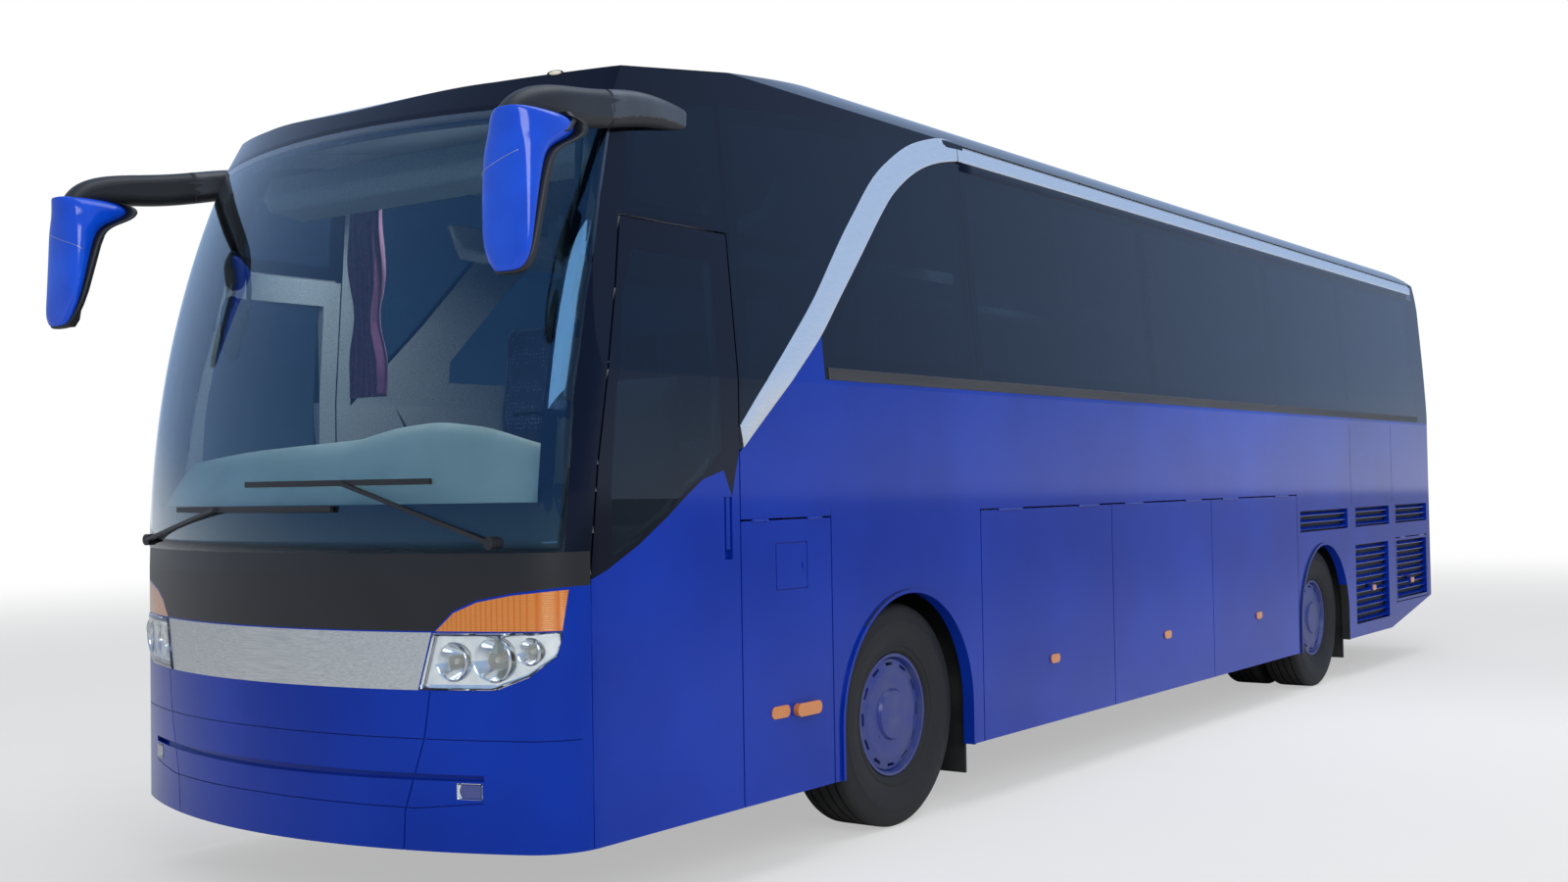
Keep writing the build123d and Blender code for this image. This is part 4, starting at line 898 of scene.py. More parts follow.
# their stalks, from the post down: ahead of the axle, across, height
STALKS = [[(2.00, -1.05, 3.00), (2.08, -1.00, 2.90), (2.10, -0.90, 2.75), (2.09, -0.84, 2.58),
           (2.08, -0.86, 2.42), (2.07, -0.93, 2.30)],
          [(1.98, 1.05, 3.00), (2.04, 1.09, 2.80), (2.07, 1.10, 2.60), (2.06, 1.08, 2.40),
           (2.05, 1.04, 2.22)]]


def on_head(level, a, squareness=HEAD_SQUARE):
    """A point on one section of a mirror head, rounded like a bar of soap."""
    z, half_x, half_y, y = level
    u, v = rounded(a, squareness)
    return Vector((FRONT_AXLE + HEAD_FRONT - half_x + half_x * u, y + half_y * v, z))


def head_ring(level, squareness=HEAD_SQUARE, count=40):
    """One whole section of a mirror head."""
    return [on_head(level, tau * i / count, squareness) for i in range(count)]


def mirror_heads():
    """Painted shell, black rim behind it, glass, and the seam across the shell, drawn as a chrome bead whose
    brightness is a painted highlight.
    """
    shell = piece("mirror_shells", *mirrored(*stacked([head_ring(v) for v in HEAD_LEVELS])), "shell_enamel")
    rims, glass = [], []
    for z, half_x, half_y, y in HEAD_LEVELS:
        back = Vector((-2 * half_x + HEAD_RIM, 0, -RIM_DROP if z < RIM_DROP_BELOW else 0.0))
        rims.append([p + back for p in head_ring((z, HEAD_RIM, half_y + 0.001, y), RIM_SQUARE)])
        if GLASS_LOW < z < GLASS_HIGH:
            x = FRONT_AXLE + HEAD_FRONT - 2 * half_x - HEAD_RIM - 0.001
            glass += [Vector((x, y + half_y * GLASS_SHARE * (2 * j / 6 - 1), z)) for j in range(7)]
    rim = piece("mirror_rims", *mirrored(*stacked(rims)), "moulded_black")
    for made in (shell, rim):
        modified(outward(made), "SUBSURF", levels=2, render_levels=2)
    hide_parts("mirror_heads")
    piece("mirror_glass", *mirrored(glass, grid_faces(len(glass) // 7, 7)), "mirror_glass")
    # the seam is real; the bright chrome bead laid along it is a painted highlight
    seam = []
    for k in range(25):
        z = SEAM_FOOT + SEAM_RISE * k / 24
        level = [z] + [on_line([(v[i], v[0]) for v in HEAD_LEVELS], z) for i in (1, 2, 3)]
        seam.append(on_head(level, radians(SEAM_FROM + SEAM_SWEEP * k / 24)))
    outward(piece("mirror_seam_highlights", *mirrored(*swept(seam, oval(3.0 * MM, 2.0 * MM))), "satin_chrome"))


# domed housing of an inner mirror: share of its radius, share of its depth
CASE = [(0.02, 1.0), (0.35, 0.94), (0.62, 0.78), (0.84, 0.52), (0.96, 0.22), (1.0, 0.0), (0.98, -0.06),
        (0.9, -0.06)]


def oval_case(centre, half_w, half_h, depth, sides=40):
    """A domed oval mirror housing, open side to the rear."""
    points = []
    for r, t in CASE:
        for i in range(sides):
            u, v = rounded(tau * i / sides, HEAD_SQUARE)
            points.append(Vector(centre) + Vector((depth * t, half_w * r * u, half_h * r * v)))
    return points, grid_faces(len(CASE), sides, wrap=True)


# the roof marker: place ahead of the axle, across and height, the way it looks, half sizes
MARKER_AT, MARKER_WAY, MARKER_HALF = (1.992, 0.936, 3.2185), (0.81, 0.31, 0.49), (0.034, 0.015)
# name, (share of the half size, height in millimetres), material
MARKER = (("marker_rim", [(1.0, -6), (1.0, 2), (0.90, 4), (0.74, 4)], "gasket_rubber"),
          ("marker_lens", [(0.76, 3), (0.60, 6), (0.30, 7.5), (0.02, 8)], "opal_lens"))


def roof_marker(sides=40):
    """The small marker lamp on the slope of the brow, in its black rim."""
    at, out = ahead(*MARKER_AT), Vector(MARKER_WAY).normalized()
    across = Vector((0, 0, 1)).cross(out).normalized()
    rise = out.cross(across)
    for name, profile, material in MARKER:
        points = []
        for r, h in profile:
            for i in range(sides):
                u, v = MARKER_HALF[0] * r * cos(tau * i / sides), MARKER_HALF[1] * r * sin(tau * i / sides)
                points.append(at + out * (h * MM) + across * u + rise * v)
        outward(piece(name, points, grid_faces(len(profile), sides, wrap=True), material))


# where the mirror arm's grey cover ends, and the rubber joint there: ahead of the axle, across, height
COVER_BEHIND, HEAD_FROM, HEAD_BELOW = 2.085, 2.38, 2.925
JOINT_AT, JOINT_WIDTH, JOINT_HEIGHT, JOINT_HALF = (2.085, 1.263, 3.017), 0.096, 0.14016, 0.006


class COACH_OT_mirrors(bpy.types.Operator):
    """Finish the mirror arms, set the mirror glass and hang the inner mirrors"""
    bl_idname = "coach.mirrors"
    bl_label = "Mirrors"

    def execute(self, context):
        def arm(c, n):
            x = c.x - FRONT_AXLE
            if x > HEAD_FROM and c.z < HEAD_BELOW and abs(c.y) > 1.2 and n.x < -0.5:
                return 0
            return 1 if x < COVER_BEHIND and n.z > -0.25 else 0

        dressed("mirror_arms", ("moulded_black", "moulded_grey"), arm)
        mirror_heads()
        ring = [rounded(tau * i / 32, 4) for i in range(32)]
        path = [ahead(*JOINT_AT) + Vector((1, 0.16, -0.14)) * d for d in (-JOINT_HALF, JOINT_HALF)]
        joint = swept(path, [(JOINT_WIDTH / 2 * u, JOINT_HEIGHT / 2 * v) for u, v in ring])
        piece("arm_joints", *mirrored(*joint), "gasket_rubber")
        cases, plates = [], []
        for x, y, z, w, h in INNER_MIRRORS:
            cases.append(oval_case(ahead(x, y, z), w, h, 0.045))
            plates.append(oval_case(ahead(x - 0.001, y, z), w * 0.9, h * 0.93, 0.004))
        for stalk in STALKS:
            path = [Vector(p) for p in through([(FRONT_AXLE + x, y, z) for x, y, z in stalk], 12)]
            cases.append(swept(path[::max(1, len(path) // 24)] + [path[-1]], oval(0.030, 0.018)))
        outward(piece("inner_mirrors", *joined(cases), "moulded_black"))
        piece("inner_mirror_glass", *joined(plates), "mirror_glass")
        roof_marker()
        return {"FINISHED"}


# the waist moulding's section with two flutes: proud of the wall, height
RISE = STRIP_HIGH - STRIP_LOW
WAIST = [(-0.001, 0.0), (0.003, 0.003), (0.003, 0.018), (0.0015, 0.0205), (0.003, 0.023), (0.003, 0.034),
         (0.0015, 0.0365), (0.003, 0.039), (0.003, RISE - 0.003), (-0.001, RISE)]
WAIST_ENDS = (-8.8, 0.64)


def waist(side):
    """The moulding along one side."""
    section = [(side * (half_width(STRIP_LOW + z) + out), STRIP_LOW + z) for out, z in WAIST]
    return stacked([[ahead(x, *at) for at in section] for x in WAIST_ENDS])


class COACH_OT_waist(bpy.types.Operator):
    """Build the fluted moulding under the side windows"""
    bl_idname = "coach.waist"
    bl_label = "Waist moulding"

    def execute(self, context):
        outward(piece("waist_mouldings", *both_sides(waist), "waist_moulding", smooth=False))
        return {"FINISHED"}


# the silver arch: outer and inner edges, ahead of the front axle and height
ARCH_OUTER = [(-0.722, 3.362), (-0.547, 3.343), (-0.268, 3.266), (-0.041, 3.151), (0.133, 3.029),
              (0.311, 2.853), (0.460, 2.697), (0.699, 2.427), (0.919, 2.216), (1.126, 2.025), (1.292, 1.856)]
ARCH_INNER = [(-0.722, 3.250), (-0.522, 3.211), (-0.316, 3.142), (-0.110, 3.027), (0.046, 2.898),
              (0.305, 2.633), (0.502, 2.432), (0.667, 2.264), (0.863, 2.100), (1.094, 1.912), (1.271, 1.765)]
RAIL_LOW, RAIL_HIGH, RAIL_FRONT, RAIL_BACK, RAIL_FOOT = 3.250, 3.362, -0.730, -9.05, 3.199
CANT, CANT_HALF, CANT_SLOPE = 3.34, 1.160, 1.25
# across a band: share of its width, how far it stands proud
BAND_SECTION = [(0.0, -0.009), (0.0, 0.0), (0.02, 0.0012), (0.06, 0.0018), (0.5, 0.0030), (0.94, 0.0018),
                (0.98, 0.0012), (1.0, 0.0), (1.0, -0.009)]


def flank_y(z):
    """Half width of the body at a height, round the cant rail too."""
    if z <= CANT:
        return half_width(z)
    return CANT_HALF - (z - CANT) * CANT_SLOPE


def curve_through(points, count):
    """Evenly spaced points on a smooth curve through a list of (u, v) points."""
    dense = through(points, 16)
    return [chain(dense, i / (count - 1)) for i in range(count)]


def band(outer, inner, side):
    """A crowned strip on the flank between two lists of (x, z)."""
    rings = []
    for (xa, za), (xb, zb) in zip(outer, inner):
        ring = []
        for share, proud in BAND_SECTION:
            x, z = xa + (xb - xa) * share, za + (zb - za) * share
            ring.append(Vector((FRONT_AXLE + x, side * (flank_y(z) + proud), z)))
        rings.append(ring)
    return stacked(rings)


class COACH_OT_silver(bpy.types.Operator):
    """Build the silver arches and rails along both sides"""
    bl_idname = "coach.silver"
    bl_label = "Silver arches and rails"

    def execute(self, context):
        arch = curve_through(ARCH_OUTER, 90), curve_through(ARCH_INNER, 90)
        spans = [RAIL_FRONT + (RAIL_BACK - RAIL_FRONT) * i / 60 for i in range(61)]
        high, low, below, foot = [[(x, z) for x in spans]
                                  for z in (RAIL_HIGH, RAIL_LOW, RAIL_LOW - 0.001, RAIL_FOOT)]
        parts = joined([both_sides(band, *arch), both_sides(band, high, low)])
        silver = outward(piece("silver_bands", *parts, "satin_aluminium"))
        creased(silver, 40)
        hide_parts("silver_arches")
        outward(piece("rail_foot", *both_sides(band, below, foot), "roof_enamel"))
        return {"FINISHED"}


# seams between panels: place ahead of the axle, foot, top
SEAM_TOP, SEAM_WIDTH, SEAM_PROUD = STRIP_LOW - 0.004, 0.005, 0.0004
SEAMS = [(-6.79, 1.38, SEAM_TOP), (-7.93, 1.38, SEAM_TOP), (0.64, 1.478, 1.50)]
# screens behind the louvres: body, front, rear, foot, top
LOUVRE_BACKS = [("body", -5.53, -6.71, 1.17, 1.37), ("body", -6.87, -7.85, 1.17, 1.37),
                ("body", -8.0, -9.03, 1.17, 1.37), ("body", -6.85, -7.81, 0.39, 1.07),
                ("grille_lid", -8.01, -8.99, 0.52, 1.06)]


class COACH_OT_panels(bpy.types.Operator):
    """Add the debris screens behind the louvres and the panel seams"""
    bl_idname = "coach.panels"
    bl_label = "Panels"

    def execute(self, context):
        for side, name in ((1, "left"), (-1, "right")):
            for i, (body, x1, x0, z0, z1) in enumerate(LOUVRE_BACKS):
                screen = debris_screen(FRONT_AXLE + x0, FRONT_AXLE + x1, z0, z1, side)
                rides_on = body if body == "body" else f"{body}_{name}"
                outward(piece(f"louvre_screen_{name}_{i}", *screen, "cast_black", rides_on, smooth=False))
        seams = [groove(FRONT_AXLE + x, z0, z1, side) for side in (1, -1) for x, z0, z1 in SEAMS]
        piece("panel_seams", *joined(seams), "gasket_rubber", smooth=False)
        return {"FINISHED"}


SCREEN_PITCH, SCREEN_DENT, SCREEN_BEHIND = 0.040, 0.003, 0.048


def debris_screen(x0, x1, z0, z1, side):
    """A dented plate close behind the blades."""
    y = side * (HALF - SCREEN_BEHIND)
    points = []
    columns, rows = int((x1 - x0) / SCREEN_PITCH), int((z1 - z0) / SCREEN_PITCH)
    for i in range(rows + 1):
        for j in range(columns + 1):
            dent = SCREEN_DENT if (i + j) % 2 else 0.0
            points.append(Vector((x0 + (x1 - x0) * j / columns, y - side * dent, z0 + (z1 - z0) * i / rows)))
    return points, grid_faces(rows + 1, columns + 1)


def groove(x, z0, z1, side, steps=12):
    """A dark sealant line between two panels."""
    points = []
    for i in range(steps + 1):
        z = z0 + (z1 - z0) * i / steps
        y = side * (half_width(z) + SEAM_PROUD)
        points += [Vector((x - SEAM_WIDTH / 2, y, z)), Vector((x + SEAM_WIDTH / 2, y, z))]
    return points, grid_faces(steps + 1, 2)


# ------------------------------------------------------------- the inside
SEAT_PITCH, SEAT_ROWS, FIRST_ROW = 0.780, 12, 0.200
SEAT_WIDTH, AISLE_HALF, SEAT_STEP = 0.40, 0.300, 0.43
MIDDLE_STAIR = (-5.81, -4.38)


def padded_form(width, depth, height, crown, channels=(), columns=22, rows=18):
    """A crowned cushion with rounded sides: x across its depth, y its width, z up from its
    foot. channels are sewn lines, as shares of the half width."""
    points = []
    for i in range(rows + 1):
        for j in range(columns + 1):
            u, v = 2 * j / columns - 1, 2 * i / rows - 1
            top = 1 - 0.55 * max(abs(u) ** 7, abs(v) ** 7)
            swell = crown * (1 - u ** 4) * (1 - v ** 4)
            sewn = sum(0.010 * exp(-((abs(u) - c) / 0.035) ** 2) for c in channels)
            tuck = 1 - 0.05 * max(abs(u), abs(v)) ** 12
            points.append(Vector((depth / 2 * v * tuck, width / 2 * u * tuck, height * top + swell - sewn)))
    count = len(points)
    for i in range(rows + 1):
        for j in range(columns + 1):
            u, v = 2 * j / columns - 1, 2 * i / rows - 1
            points.append(Vector((depth / 2 * v * 0.97, width / 2 * u * 0.97, 0.0)))
    faces = [tuple(reversed(f)) for f in grid_faces(rows + 1, columns + 1)]
    faces += grid_faces(rows + 1, columns + 1, count)
    edge = list(range(columns + 1)) + [(i + 1) * (columns + 1) - 1 for i in range(1, rows + 1)]
    edge += [rows * (columns + 1) + j for j in range(columns - 1, -1, -1)]
    edge += [i * (columns + 1) for i in range(rows - 1, 0, -1)]
    for a, b in zip(edge, edge[1:] + edge[:1]):
        faces.append((a, b, b + count, a + count))
    return points, faces


def placed(form, at, lean=0.0, stand=False):
    """A form moved to a place; stand turns it upright, facing forward, leaning back."""
    points, faces = form
    turn = Matrix.Rotation(radians(90) - lean if stand else 0, 3, "Y")
    return [Vector(at) + turn @ p for p in points], faces


def seat_places():
    """Rear edge, middle and floor of each passenger seat."""
    for row in range(SEAT_ROWS):
        x = FIRST_ROW - SEAT_PITCH * row
        for side in (1, -1):
            if side < 0 and MIDDLE_STAIR[0] < x < MIDDLE_STAIR[1]:
                continue
            for k in (0, 1):
                yield FRONT_AXLE + x, side * (AISLE_HALF + SEAT_STEP * (k + 0.5)), DECK


BACK_LEAN = 0.105


def seat_forms(x, y, floor, high):
    """Cushion and backrest of one seat."""
    cushion = placed(padded_form(SEAT_WIDTH, 0.46, 0.105, 0.022, (0.62,)), (x + 0.235, y, floor + 0.302))
    length = high - 0.44
    back = padded_form(SEAT_WIDTH, length, 0.072, 0.014, (0.66,), rows=26)
    shaped = []
    for p in back[0]:
        share = 0.5 - p.x / length
        wing = 0.020 * exp(-((share - 0.86) / 0.10) ** 2) * abs(2 * p.y / SEAT_WIDTH) ** 3
        lumbar = 0.014 * exp(-((share - 0.28) / 0.14) ** 2)
        narrow = 1 - 0.16 * max(0.0, (share - 0.8) / 0.2) ** 2
        shaped.append(Vector((p.x, p.y * narrow, p.z + ((wing + lumbar) if p.z > 0.001 else 0.0))))
    return cushion, placed((shaped, back[1]), (x - 0.022, y, floor + 0.435 + length / 2), BACK_LEAN, True)


class COACH_OT_seats(bpy.types.Operator):
    """Build the seats: padded cushions and backs on moulded frames"""
    bl_idname = "coach.seats"
    bl_label = "Seats"

    def execute(self, context):
        cushions, backs, frames = [], [], []
        for x, y, floor in seat_places():
            cushion, back = seat_forms(x, y, floor, 1.10)
            cushions.append(cushion)
            backs.append(back)
            frames += seat_frame(x, y, floor)
        upholster("passenger_cushions", joined(cushions), "moquette", "passenger_seats")
        upholster("passenger_backs", joined(backs), "moquette", "passenger_seats")
        outward(piece("passenger_frames", *joined(frames), "moulded_black"))
        x, y, floor = DRIVER_AT
        for name, (points, faces) in zip(("driver_cushion", "driver_back"), seat_forms(x, y, floor, 1.09)):
            wide = [Vector((p.x, y + (p.y - y) * DRIVER_WIDER, p.z)) for p in points]
            upholster(name, (wide, faces), "driver_cloth", "driver_seat")
        outward(piece("driver_frame", *joined(seat_frame(x, y, floor)), "moulded_black"))
        return {"FINISHED"}


DRIVER_AT, DRIVER_WIDER = (FRONT_AXLE + 1.120, 0.560, 1.020), 1.2
# a seat's frame: places behind its rear edge and over the floor
PAN, LEG = [(0.02, 0.285), (0.45, 0.285)], [(0.20, 0.001), (0.20, 0.03), (0.22, 0.27)]
ARM = [(0.03, 0.52), (0.08, 0.60), (0.22, 0.61), (0.36, 0.595)]
ARM_AT = 0.205


def upholster(name, form, cloth, node):
    """A padded piece that stands for a CAD node's seats."""
    made = outward(piece(name, *form, cloth))
    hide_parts(node)


def seat_frame(x, y, floor):
    """Pan, pedestal and armrest of one seat."""
    inner = y - ARM_AT if y > 0 else y + ARM_AT
    return [swept([Vector((x + along, across, floor + up)) for along, up in path], section)
            for path, across, section in ((PAN, y, oval(0.38, 0.028, 12)), (LEG, y, oval(0.11, 0.24, 12)),
                                          (ARM, inner, oval(0.030, 0.024)))]


# the dashboard's upper moulding: how far it rises, place across the cab
PAD_HALF = 1.14
PAD_RISE = [(0.16, -PAD_HALF), (0.20, -0.60), (0.22, -0.10), (0.23, 0.15), (0.27, 0.32), (0.29, 0.56),
            (0.26, 0.80), (0.20, 0.98), (0.16, PAD_HALF)]
# its section: share of the way back, height, share of the rise
PAD_SECTION = [(0.0, 1.40, 0), (0.0, 1.50, 0), (0.03, 1.555, 0), (0.12, 1.585, 0.15), (0.22, 1.60, 0.45),
               (0.34, 1.605, 0.85), (0.44, 1.60, 1), (0.52, 1.585, 0.92), (0.60, 1.555, 0.5),
               (0.80, 1.50, 0.12), (1.0, 1.442, 0), (0.98, 1.40, 0)]
VENTS, VENT_X, VENT_Z, VENT_HALF = (-0.92, -0.62, -0.32, 0.0), 2.16, 1.612, 0.10
# sections of the header (ahead of the axle, height) and of the racks (across, height)
HEADER = [(1.62, 3.05), (1.60, 2.93), (1.66, 2.88), (1.86, 2.90), (1.90, 2.96), (1.86, 3.06)]
RACK = [(1.08, 2.98), (0.98, 2.80), (0.78, 2.76), (0.64, 2.80), (0.60, 2.86), (0.62, 2.92), (0.66, 2.88),
        (0.80, 2.82), (0.95, 2.86), (1.04, 3.00)]
HEADER_ENDS, RACK_ENDS = (-1.0, 1.0), (0.70, -8.60)


class COACH_OT_cab(bpy.types.Operator):
    """Build the dashboard's upper moulding, curtain, racks and header"""
    bl_idname = "coach.cab"
    bl_label = "Cab and cabin"

    def execute(self, context):
        dash_pad()
        header_and_racks()
        curtains(context.scene.coach_curtain)
        return {"FINISHED"}


def dash_pad(columns=70):
    """A foamed moulding from the foot of the screen back to the dashboard, with its vents."""
    rings = []
    for j in range(columns):
        y = -PAD_HALF + 2 * PAD_HALF * j / (columns - 1)
        beside = [on_line(PAD_RISE, max(-PAD_HALF, y - 0.06)), on_line(PAD_RISE, min(PAD_HALF, y + 0.06))]
        rise = (on_line(PAD_RISE, y) + 0.5 * sum(beside)) / 2
        front = front_x(y, 1.50) - 0.050
        depth = FRONT_AXLE + 1.90 - 0.02 * cos(y * 2) - front
        rings.append([Vector((front + depth * share, y, z + rise * part)) for share, z, part in PAD_SECTION])
    pad = outward(piece("dash_pad", *stacked(rings), "dash_skin"))
    modified(pad, "SUBSURF", levels=1, render_levels=1)
    vents = [swept([ahead(VENT_X, y - VENT_HALF, VENT_Z), ahead(VENT_X, y + VENT_HALF, VENT_Z)],
                   oval(0.044, 0.010, 12)) for y in VENTS]
    outward(piece("dash_vents", *joined(vents), "moulded_black"))


def rack(side):
    """The parcel rack along one side."""
    return stacked([[ahead(x, side * y, z) for y, z in RACK] for x in RACK_ENDS])


def header_and_racks():
    """The lined header over the screen and the parcel racks along the cabin."""
    header = stacked([[ahead(x, y, z) for x, z in HEADER] for y in HEADER_ENDS])
    made = outward(piece("cab_header", *header, "cabin_lining", smooth=False))
    modified(made, "BEVEL", width=0.02, segments=3, limit_method="ANGLE")
    made = outward(piece("parcel_racks", *both_sides(rack), "cabin_lining", smooth=False))
    modified(made, "BEVEL", width=0.015, segments=2, limit_method="ANGLE")


CURTAIN_DROP, CURTAIN_FOLDS, CURTAIN_SPAN = 0.92, 6, 0.20


CURTAIN_TOP, CURTAIN_X, CURTAIN_Y = 2.96, 1.66, -0.56


def curtains(s):
    """The plum curtain gathered beside the courier's seat, hung from a rail."""
    columns, rows = 120, 46
    top, x0, y0 = CURTAIN_TOP, FRONT_AXLE + CURTAIN_X, CURTAIN_Y
    points = []
    for i in range(rows):
        v = i / (rows - 1)
        gather = CURTAIN_SPAN * (1 - 0.40 * exp(-((v - 0.62) / 0.16) ** 2) + 0.15 * v)
        for j in range(columns):
            u = j / (columns - 1)
            fold = sin(tau * CURTAIN_FOLDS * u + 0.7 * sin(5 * v + u))
            depth = s.fold_depth * (0.45 + 0.55 * min(1.0, 4 * v)) * (1 + 0.25 * sin(9 * u))
            points.append(Vector((x0 + depth * fold, y0 + gather * (u - 0.5) + 0.006 * sin(14 * v + 9 * u),
                                  top - CURTAIN_DROP * v)))
    cloth = piece("cab_curtain", points, grid_faces(rows, columns), "curtain_cloth")
    modified(cloth, "SOLIDIFY", thickness=1.2 * MM, offset=0)
    rail = [Vector((x0, y0 - 0.25, top + 0.012)), Vector((x0, y0 + 0.25, top + 0.012))]
    outward(piece("curtain_rail", *swept(rail, oval(0.022, 0.012)), "satin_chrome"))


class COACH_OT_stage(bpy.types.Operator):
    """Floor, backdrop, lights and camera"""
    bl_idname = "coach.stage"
    bl_label = "Stage"

    def execute(self, context):
        s = context.scene.coach_stage
        floor_and_backdrop(s)
        lights(s)
        camera(s)
        return {"FINISHED"}


FLOOR_SIZE, FLOOR_NEAR, FLOOR_FAR = 150.0, 8.0, 26.0
SOFT_SKY, CEILING = (0.93, 0.96, 1.0, 1), (0.38, 0.52, 0.78, 1)
CAMERA_AT = Vector((9.989, 5.365, 1.617))
CAMERA_YAW, CAMERA_PITCH, CAMERA_ROLL = radians(215.654), radians(1.4714), radians(-0.9478)


def camera(s):
    """The camera the coach is seen with."""
    data = bpy.data.cameras.new("photographer")
    data.lens, data.sensor_width, data.clip_end = s.lens, 36.0, 500.0
    made = bpy.data.objects.new("photographer", data)
    flat = cos(CAMERA_PITCH)
    way = Vector((flat * cos(CAMERA_YAW), flat * sin(CAMERA_YAW), sin(CAMERA_PITCH)))
    level = way.cross(Vector((0, 0, 1))).normalized()
    rise = level.cross(way)
    right = level * cos(CAMERA_ROLL) + rise * sin(CAMERA_ROLL)
    up = rise * cos(CAMERA_ROLL) - level * sin(CAMERA_ROLL)
    made.matrix_world = Matrix.Translation(CAMERA_AT) @ Matrix((right, up, -way)).transposed().to_4x4()
    bpy.context.scene.collection.objects.link(made)
    bpy.context.scene.camera = made
    bpy.context.scene.view_settings.view_transform = "Standard"


def smooth_share(tree, source, low, high):
    """0 below low, 1 above high, with a soft step between."""
    settings = {"interpolation_type": "SMOOTHSTEP", "From Min": low, "From Max": high}
    return add(tree, "ShaderNodeMapRange", settings, {"Value": source}).outputs["Result"]


def rays(tree, *kinds):
    """1 for any of these kinds of ray."""
    path = add(tree, "ShaderNodeLightPath")
    seen = path.outputs[kinds[0]]
    for kind in kinds[1:]:
        either = add(tree, "ShaderNodeMath", {"operation": "MAXIMUM"}, {0: seen, 1: path.outputs[kind]})
        seen = either.outputs["Value"]
    return seen


def floor_and_backdrop(s):
    """A pale floor that fades into the white backdrop, and a world dimmer above than around."""
    made = bpy.data.materials.new("studio_floor")
    made.use_nodes = True
    tree = made.node_tree
    tree.nodes.clear()
    place = add(tree, "ShaderNodeTexCoord")
    noise = add(tree, "ShaderNodeTexNoise", {"Scale": 2.0}, {"Vector": place.outputs["Object"]})
    paint = add(tree, "ShaderNodeMapRange", {"To Min": s.floor_tone * 0.97, "To Max": s.floor_tone},
                {"Value": noise.outputs["Fac"]})
    matt = add(tree, "ShaderNodeBsdfDiffuse", links={"Color": paint.outputs["Result"]})
    glow = add(tree, "ShaderNodeEmission", {"Strength": 1.0})
    # white far from the coach, part white under it so that its shadow stays
    reach = add(tree, "ShaderNodeVectorMath", {"operation": "LENGTH"}, {0: place.outputs["Object"]})
    far = smooth_share(tree, reach.outputs["Value"], FLOOR_NEAR, FLOOR_FAR)
    pale = add(tree, "ShaderNodeMapRange", {"To Min": 0.45, "To Max": 1.0}, {"Value": far})
    share = add(tree, "ShaderNodeMath", {"operation": "MULTIPLY"},
                {0: pale.outputs["Result"], 1: rays(tree, "Is Camera Ray", "Is Transmission Ray")})
    both = add(tree, "ShaderNodeMixShader", links={0: share.outputs["Value"], 1: matt.outputs["BSDF"],
                                                   2: glow.outputs["Emission"]})
    add(tree, "ShaderNodeOutputMaterial", links={"Surface": both.outputs["Shader"]})
    MADE["studio_floor"] = made
    mesh = bpy.data.meshes.new("studio_floor")
    corners = [(FLOOR_SIZE * x, FLOOR_SIZE * y, 0) for x, y in ((-1, -1), (1, -1), (1, 1), (-1, 1))]
    mesh.from_pydata(corners, [], [(0, 1, 2, 3)])
    mesh.materials.append(made)
    ground = bpy.data.objects.new("studio_floor", mesh)
    bpy.context.scene.collection.objects.link(ground)
    world = bpy.data.worlds.new("studio")
    bpy.context.scene.world = world
    world.use_nodes = True
    tree = world.node_tree
    tree.nodes.clear()
    soft = add(tree, "ShaderNodeBackground", {"Color": SOFT_SKY, "Strength": s.sky_power})
    white = add(tree, "ShaderNodeBackground", {"Color": (1, 1, 1, 1), "Strength": 1.0})
    ceiling = add(tree, "ShaderNodeBackground", {"Color": CEILING, "Strength": 1.0})
    # gloss sees the white walls and, above them, the dimmer ceiling
    way = add(tree, "ShaderNodeTexCoord")
    rise = add(tree, "ShaderNodeSeparateXYZ", links={"Vector": way.outputs["Generated"]})
    above = smooth_share(tree, rise.outputs["Z"], -0.05, 0.12)
    held = add(tree, "ShaderNodeMath", {"operation": "MULTIPLY"}, {0: above, 1: rays(tree, "Is Glossy Ray")})
    room = add(tree, "ShaderNodeMixShader", links={0: held.outputs["Value"], 1: white.outputs["Background"],
                                                   2: ceiling.outputs["Background"]})
    both = add(tree, "ShaderNodeMixShader",
               links={0: rays(tree, "Is Camera Ray", "Is Glossy Ray", "Is Transmission Ray"),
                      1: soft.outputs["Background"], 2: room.outputs["Shader"]})
    add(tree, "ShaderNodeOutputWorld", links={"Surface": both.outputs["Shader"]})


def area_light(name, at, aim, width, height, power, seen=True):
    """A rectangular light that faces a point."""
    data = bpy.data.lights.new(name, "AREA")
    data.shape, data.size, data.size_y, data.energy = "RECTANGLE", width, height, power
    made = bpy.data.objects.new(name, data)
    made.location = at
    made.rotation_euler = (Vector(aim) - Vector(at)).to_track_quat("-Z", "Y").to_euler()
    made.visible_camera = made.visible_glossy = made.visible_transmission = seen
    bpy.context.scene.collection.objects.link(made)


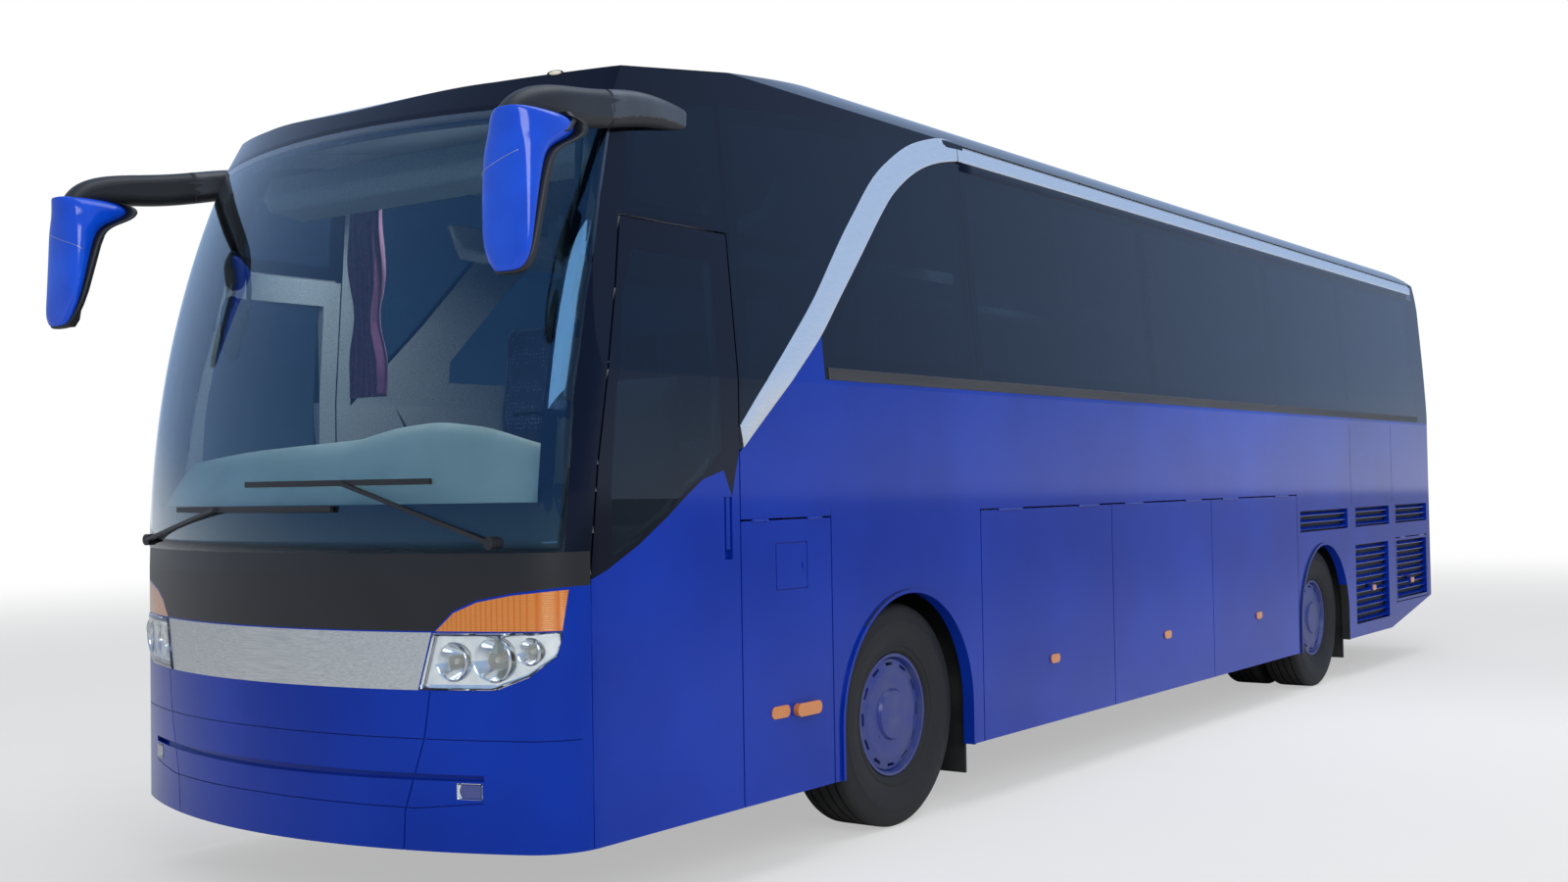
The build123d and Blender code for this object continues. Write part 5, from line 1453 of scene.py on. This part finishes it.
def lights(s):
    """The key light, the one over the roof and the cabin's own lamps."""
    area_light("key", (14.0, 13.0, 9.0), (1.0, 0.0, 1.5), 9.0, 6.0, s.key_power)
    area_light("overhead", (0.0, 3.0, 14.0), (0.0, 0.0, 1.0), 14.0, 8.0, s.fill_power)
    # these let what is behind the glass be made out
    area_light("cabin_lamps", (-1.2, 0.0, 3.3), (-1.2, 0.0, 1.0), 0.5, 8.5, s.cabin_power, seen=False)
    area_light("cab_lamps", (FRONT_AXLE + 1.6, 0.0, 3.0), (FRONT_AXLE + 2.0, 0.0, 1.2), 1.8, 0.3,
               s.cabin_power * 0.9, seen=False)


class COACH_PT_panel(bpy.types.Panel):
    """Lists the coach's pieces"""
    bl_idname = "COACH_PT_panel"
    bl_label = "Touring coach"
    bl_space_type = "VIEW_3D"
    bl_region_type = "UI"
    bl_category = "Coach"

    def draw(self, context):
        for operator in PIECES:
            self.layout.operator(operator.bl_idname)
        for group in GROUPS:
            settings = getattr(context.scene, group)
            for name in settings.bl_rna.properties.keys():
                if name not in ("rna_type", "name"):
                    self.layout.prop(settings, name)


PIECES = (COACH_OT_finish_nodes, COACH_OT_shell, COACH_OT_doors, COACH_OT_lids, COACH_OT_rear,
          COACH_OT_windscreen, COACH_OT_tyres, COACH_OT_wheels, COACH_OT_lamps, COACH_OT_mirrors,
          COACH_OT_waist, COACH_OT_silver, COACH_OT_panels, COACH_OT_seats, COACH_OT_cab, COACH_OT_stage)
GROUPS = {"coach_stage": CoachStageSettings, "coach_tyres": CoachTyreSettings,
          "coach_curtain": CoachCurtainSettings}


def register():
    for group in GROUPS.values():
        bpy.utils.register_class(group)
    for operator in PIECES:
        bpy.utils.register_class(operator)
    bpy.utils.register_class(COACH_PT_panel)
    for name, group in GROUPS.items():
        setattr(bpy.types.Scene, name, PointerProperty(type=group))


def unregister():
    for name in GROUPS:
        delattr(bpy.types.Scene, name)
    for kind in (COACH_PT_panel, *reversed(PIECES), *GROUPS.values()):
        bpy.utils.unregister_class(kind)


def main():
    register()
    for operator in PIECES:
        group, name = operator.bl_idname.split(".")
        getattr(getattr(bpy.ops, group), name)()


if __name__ == "__main__":
    main()
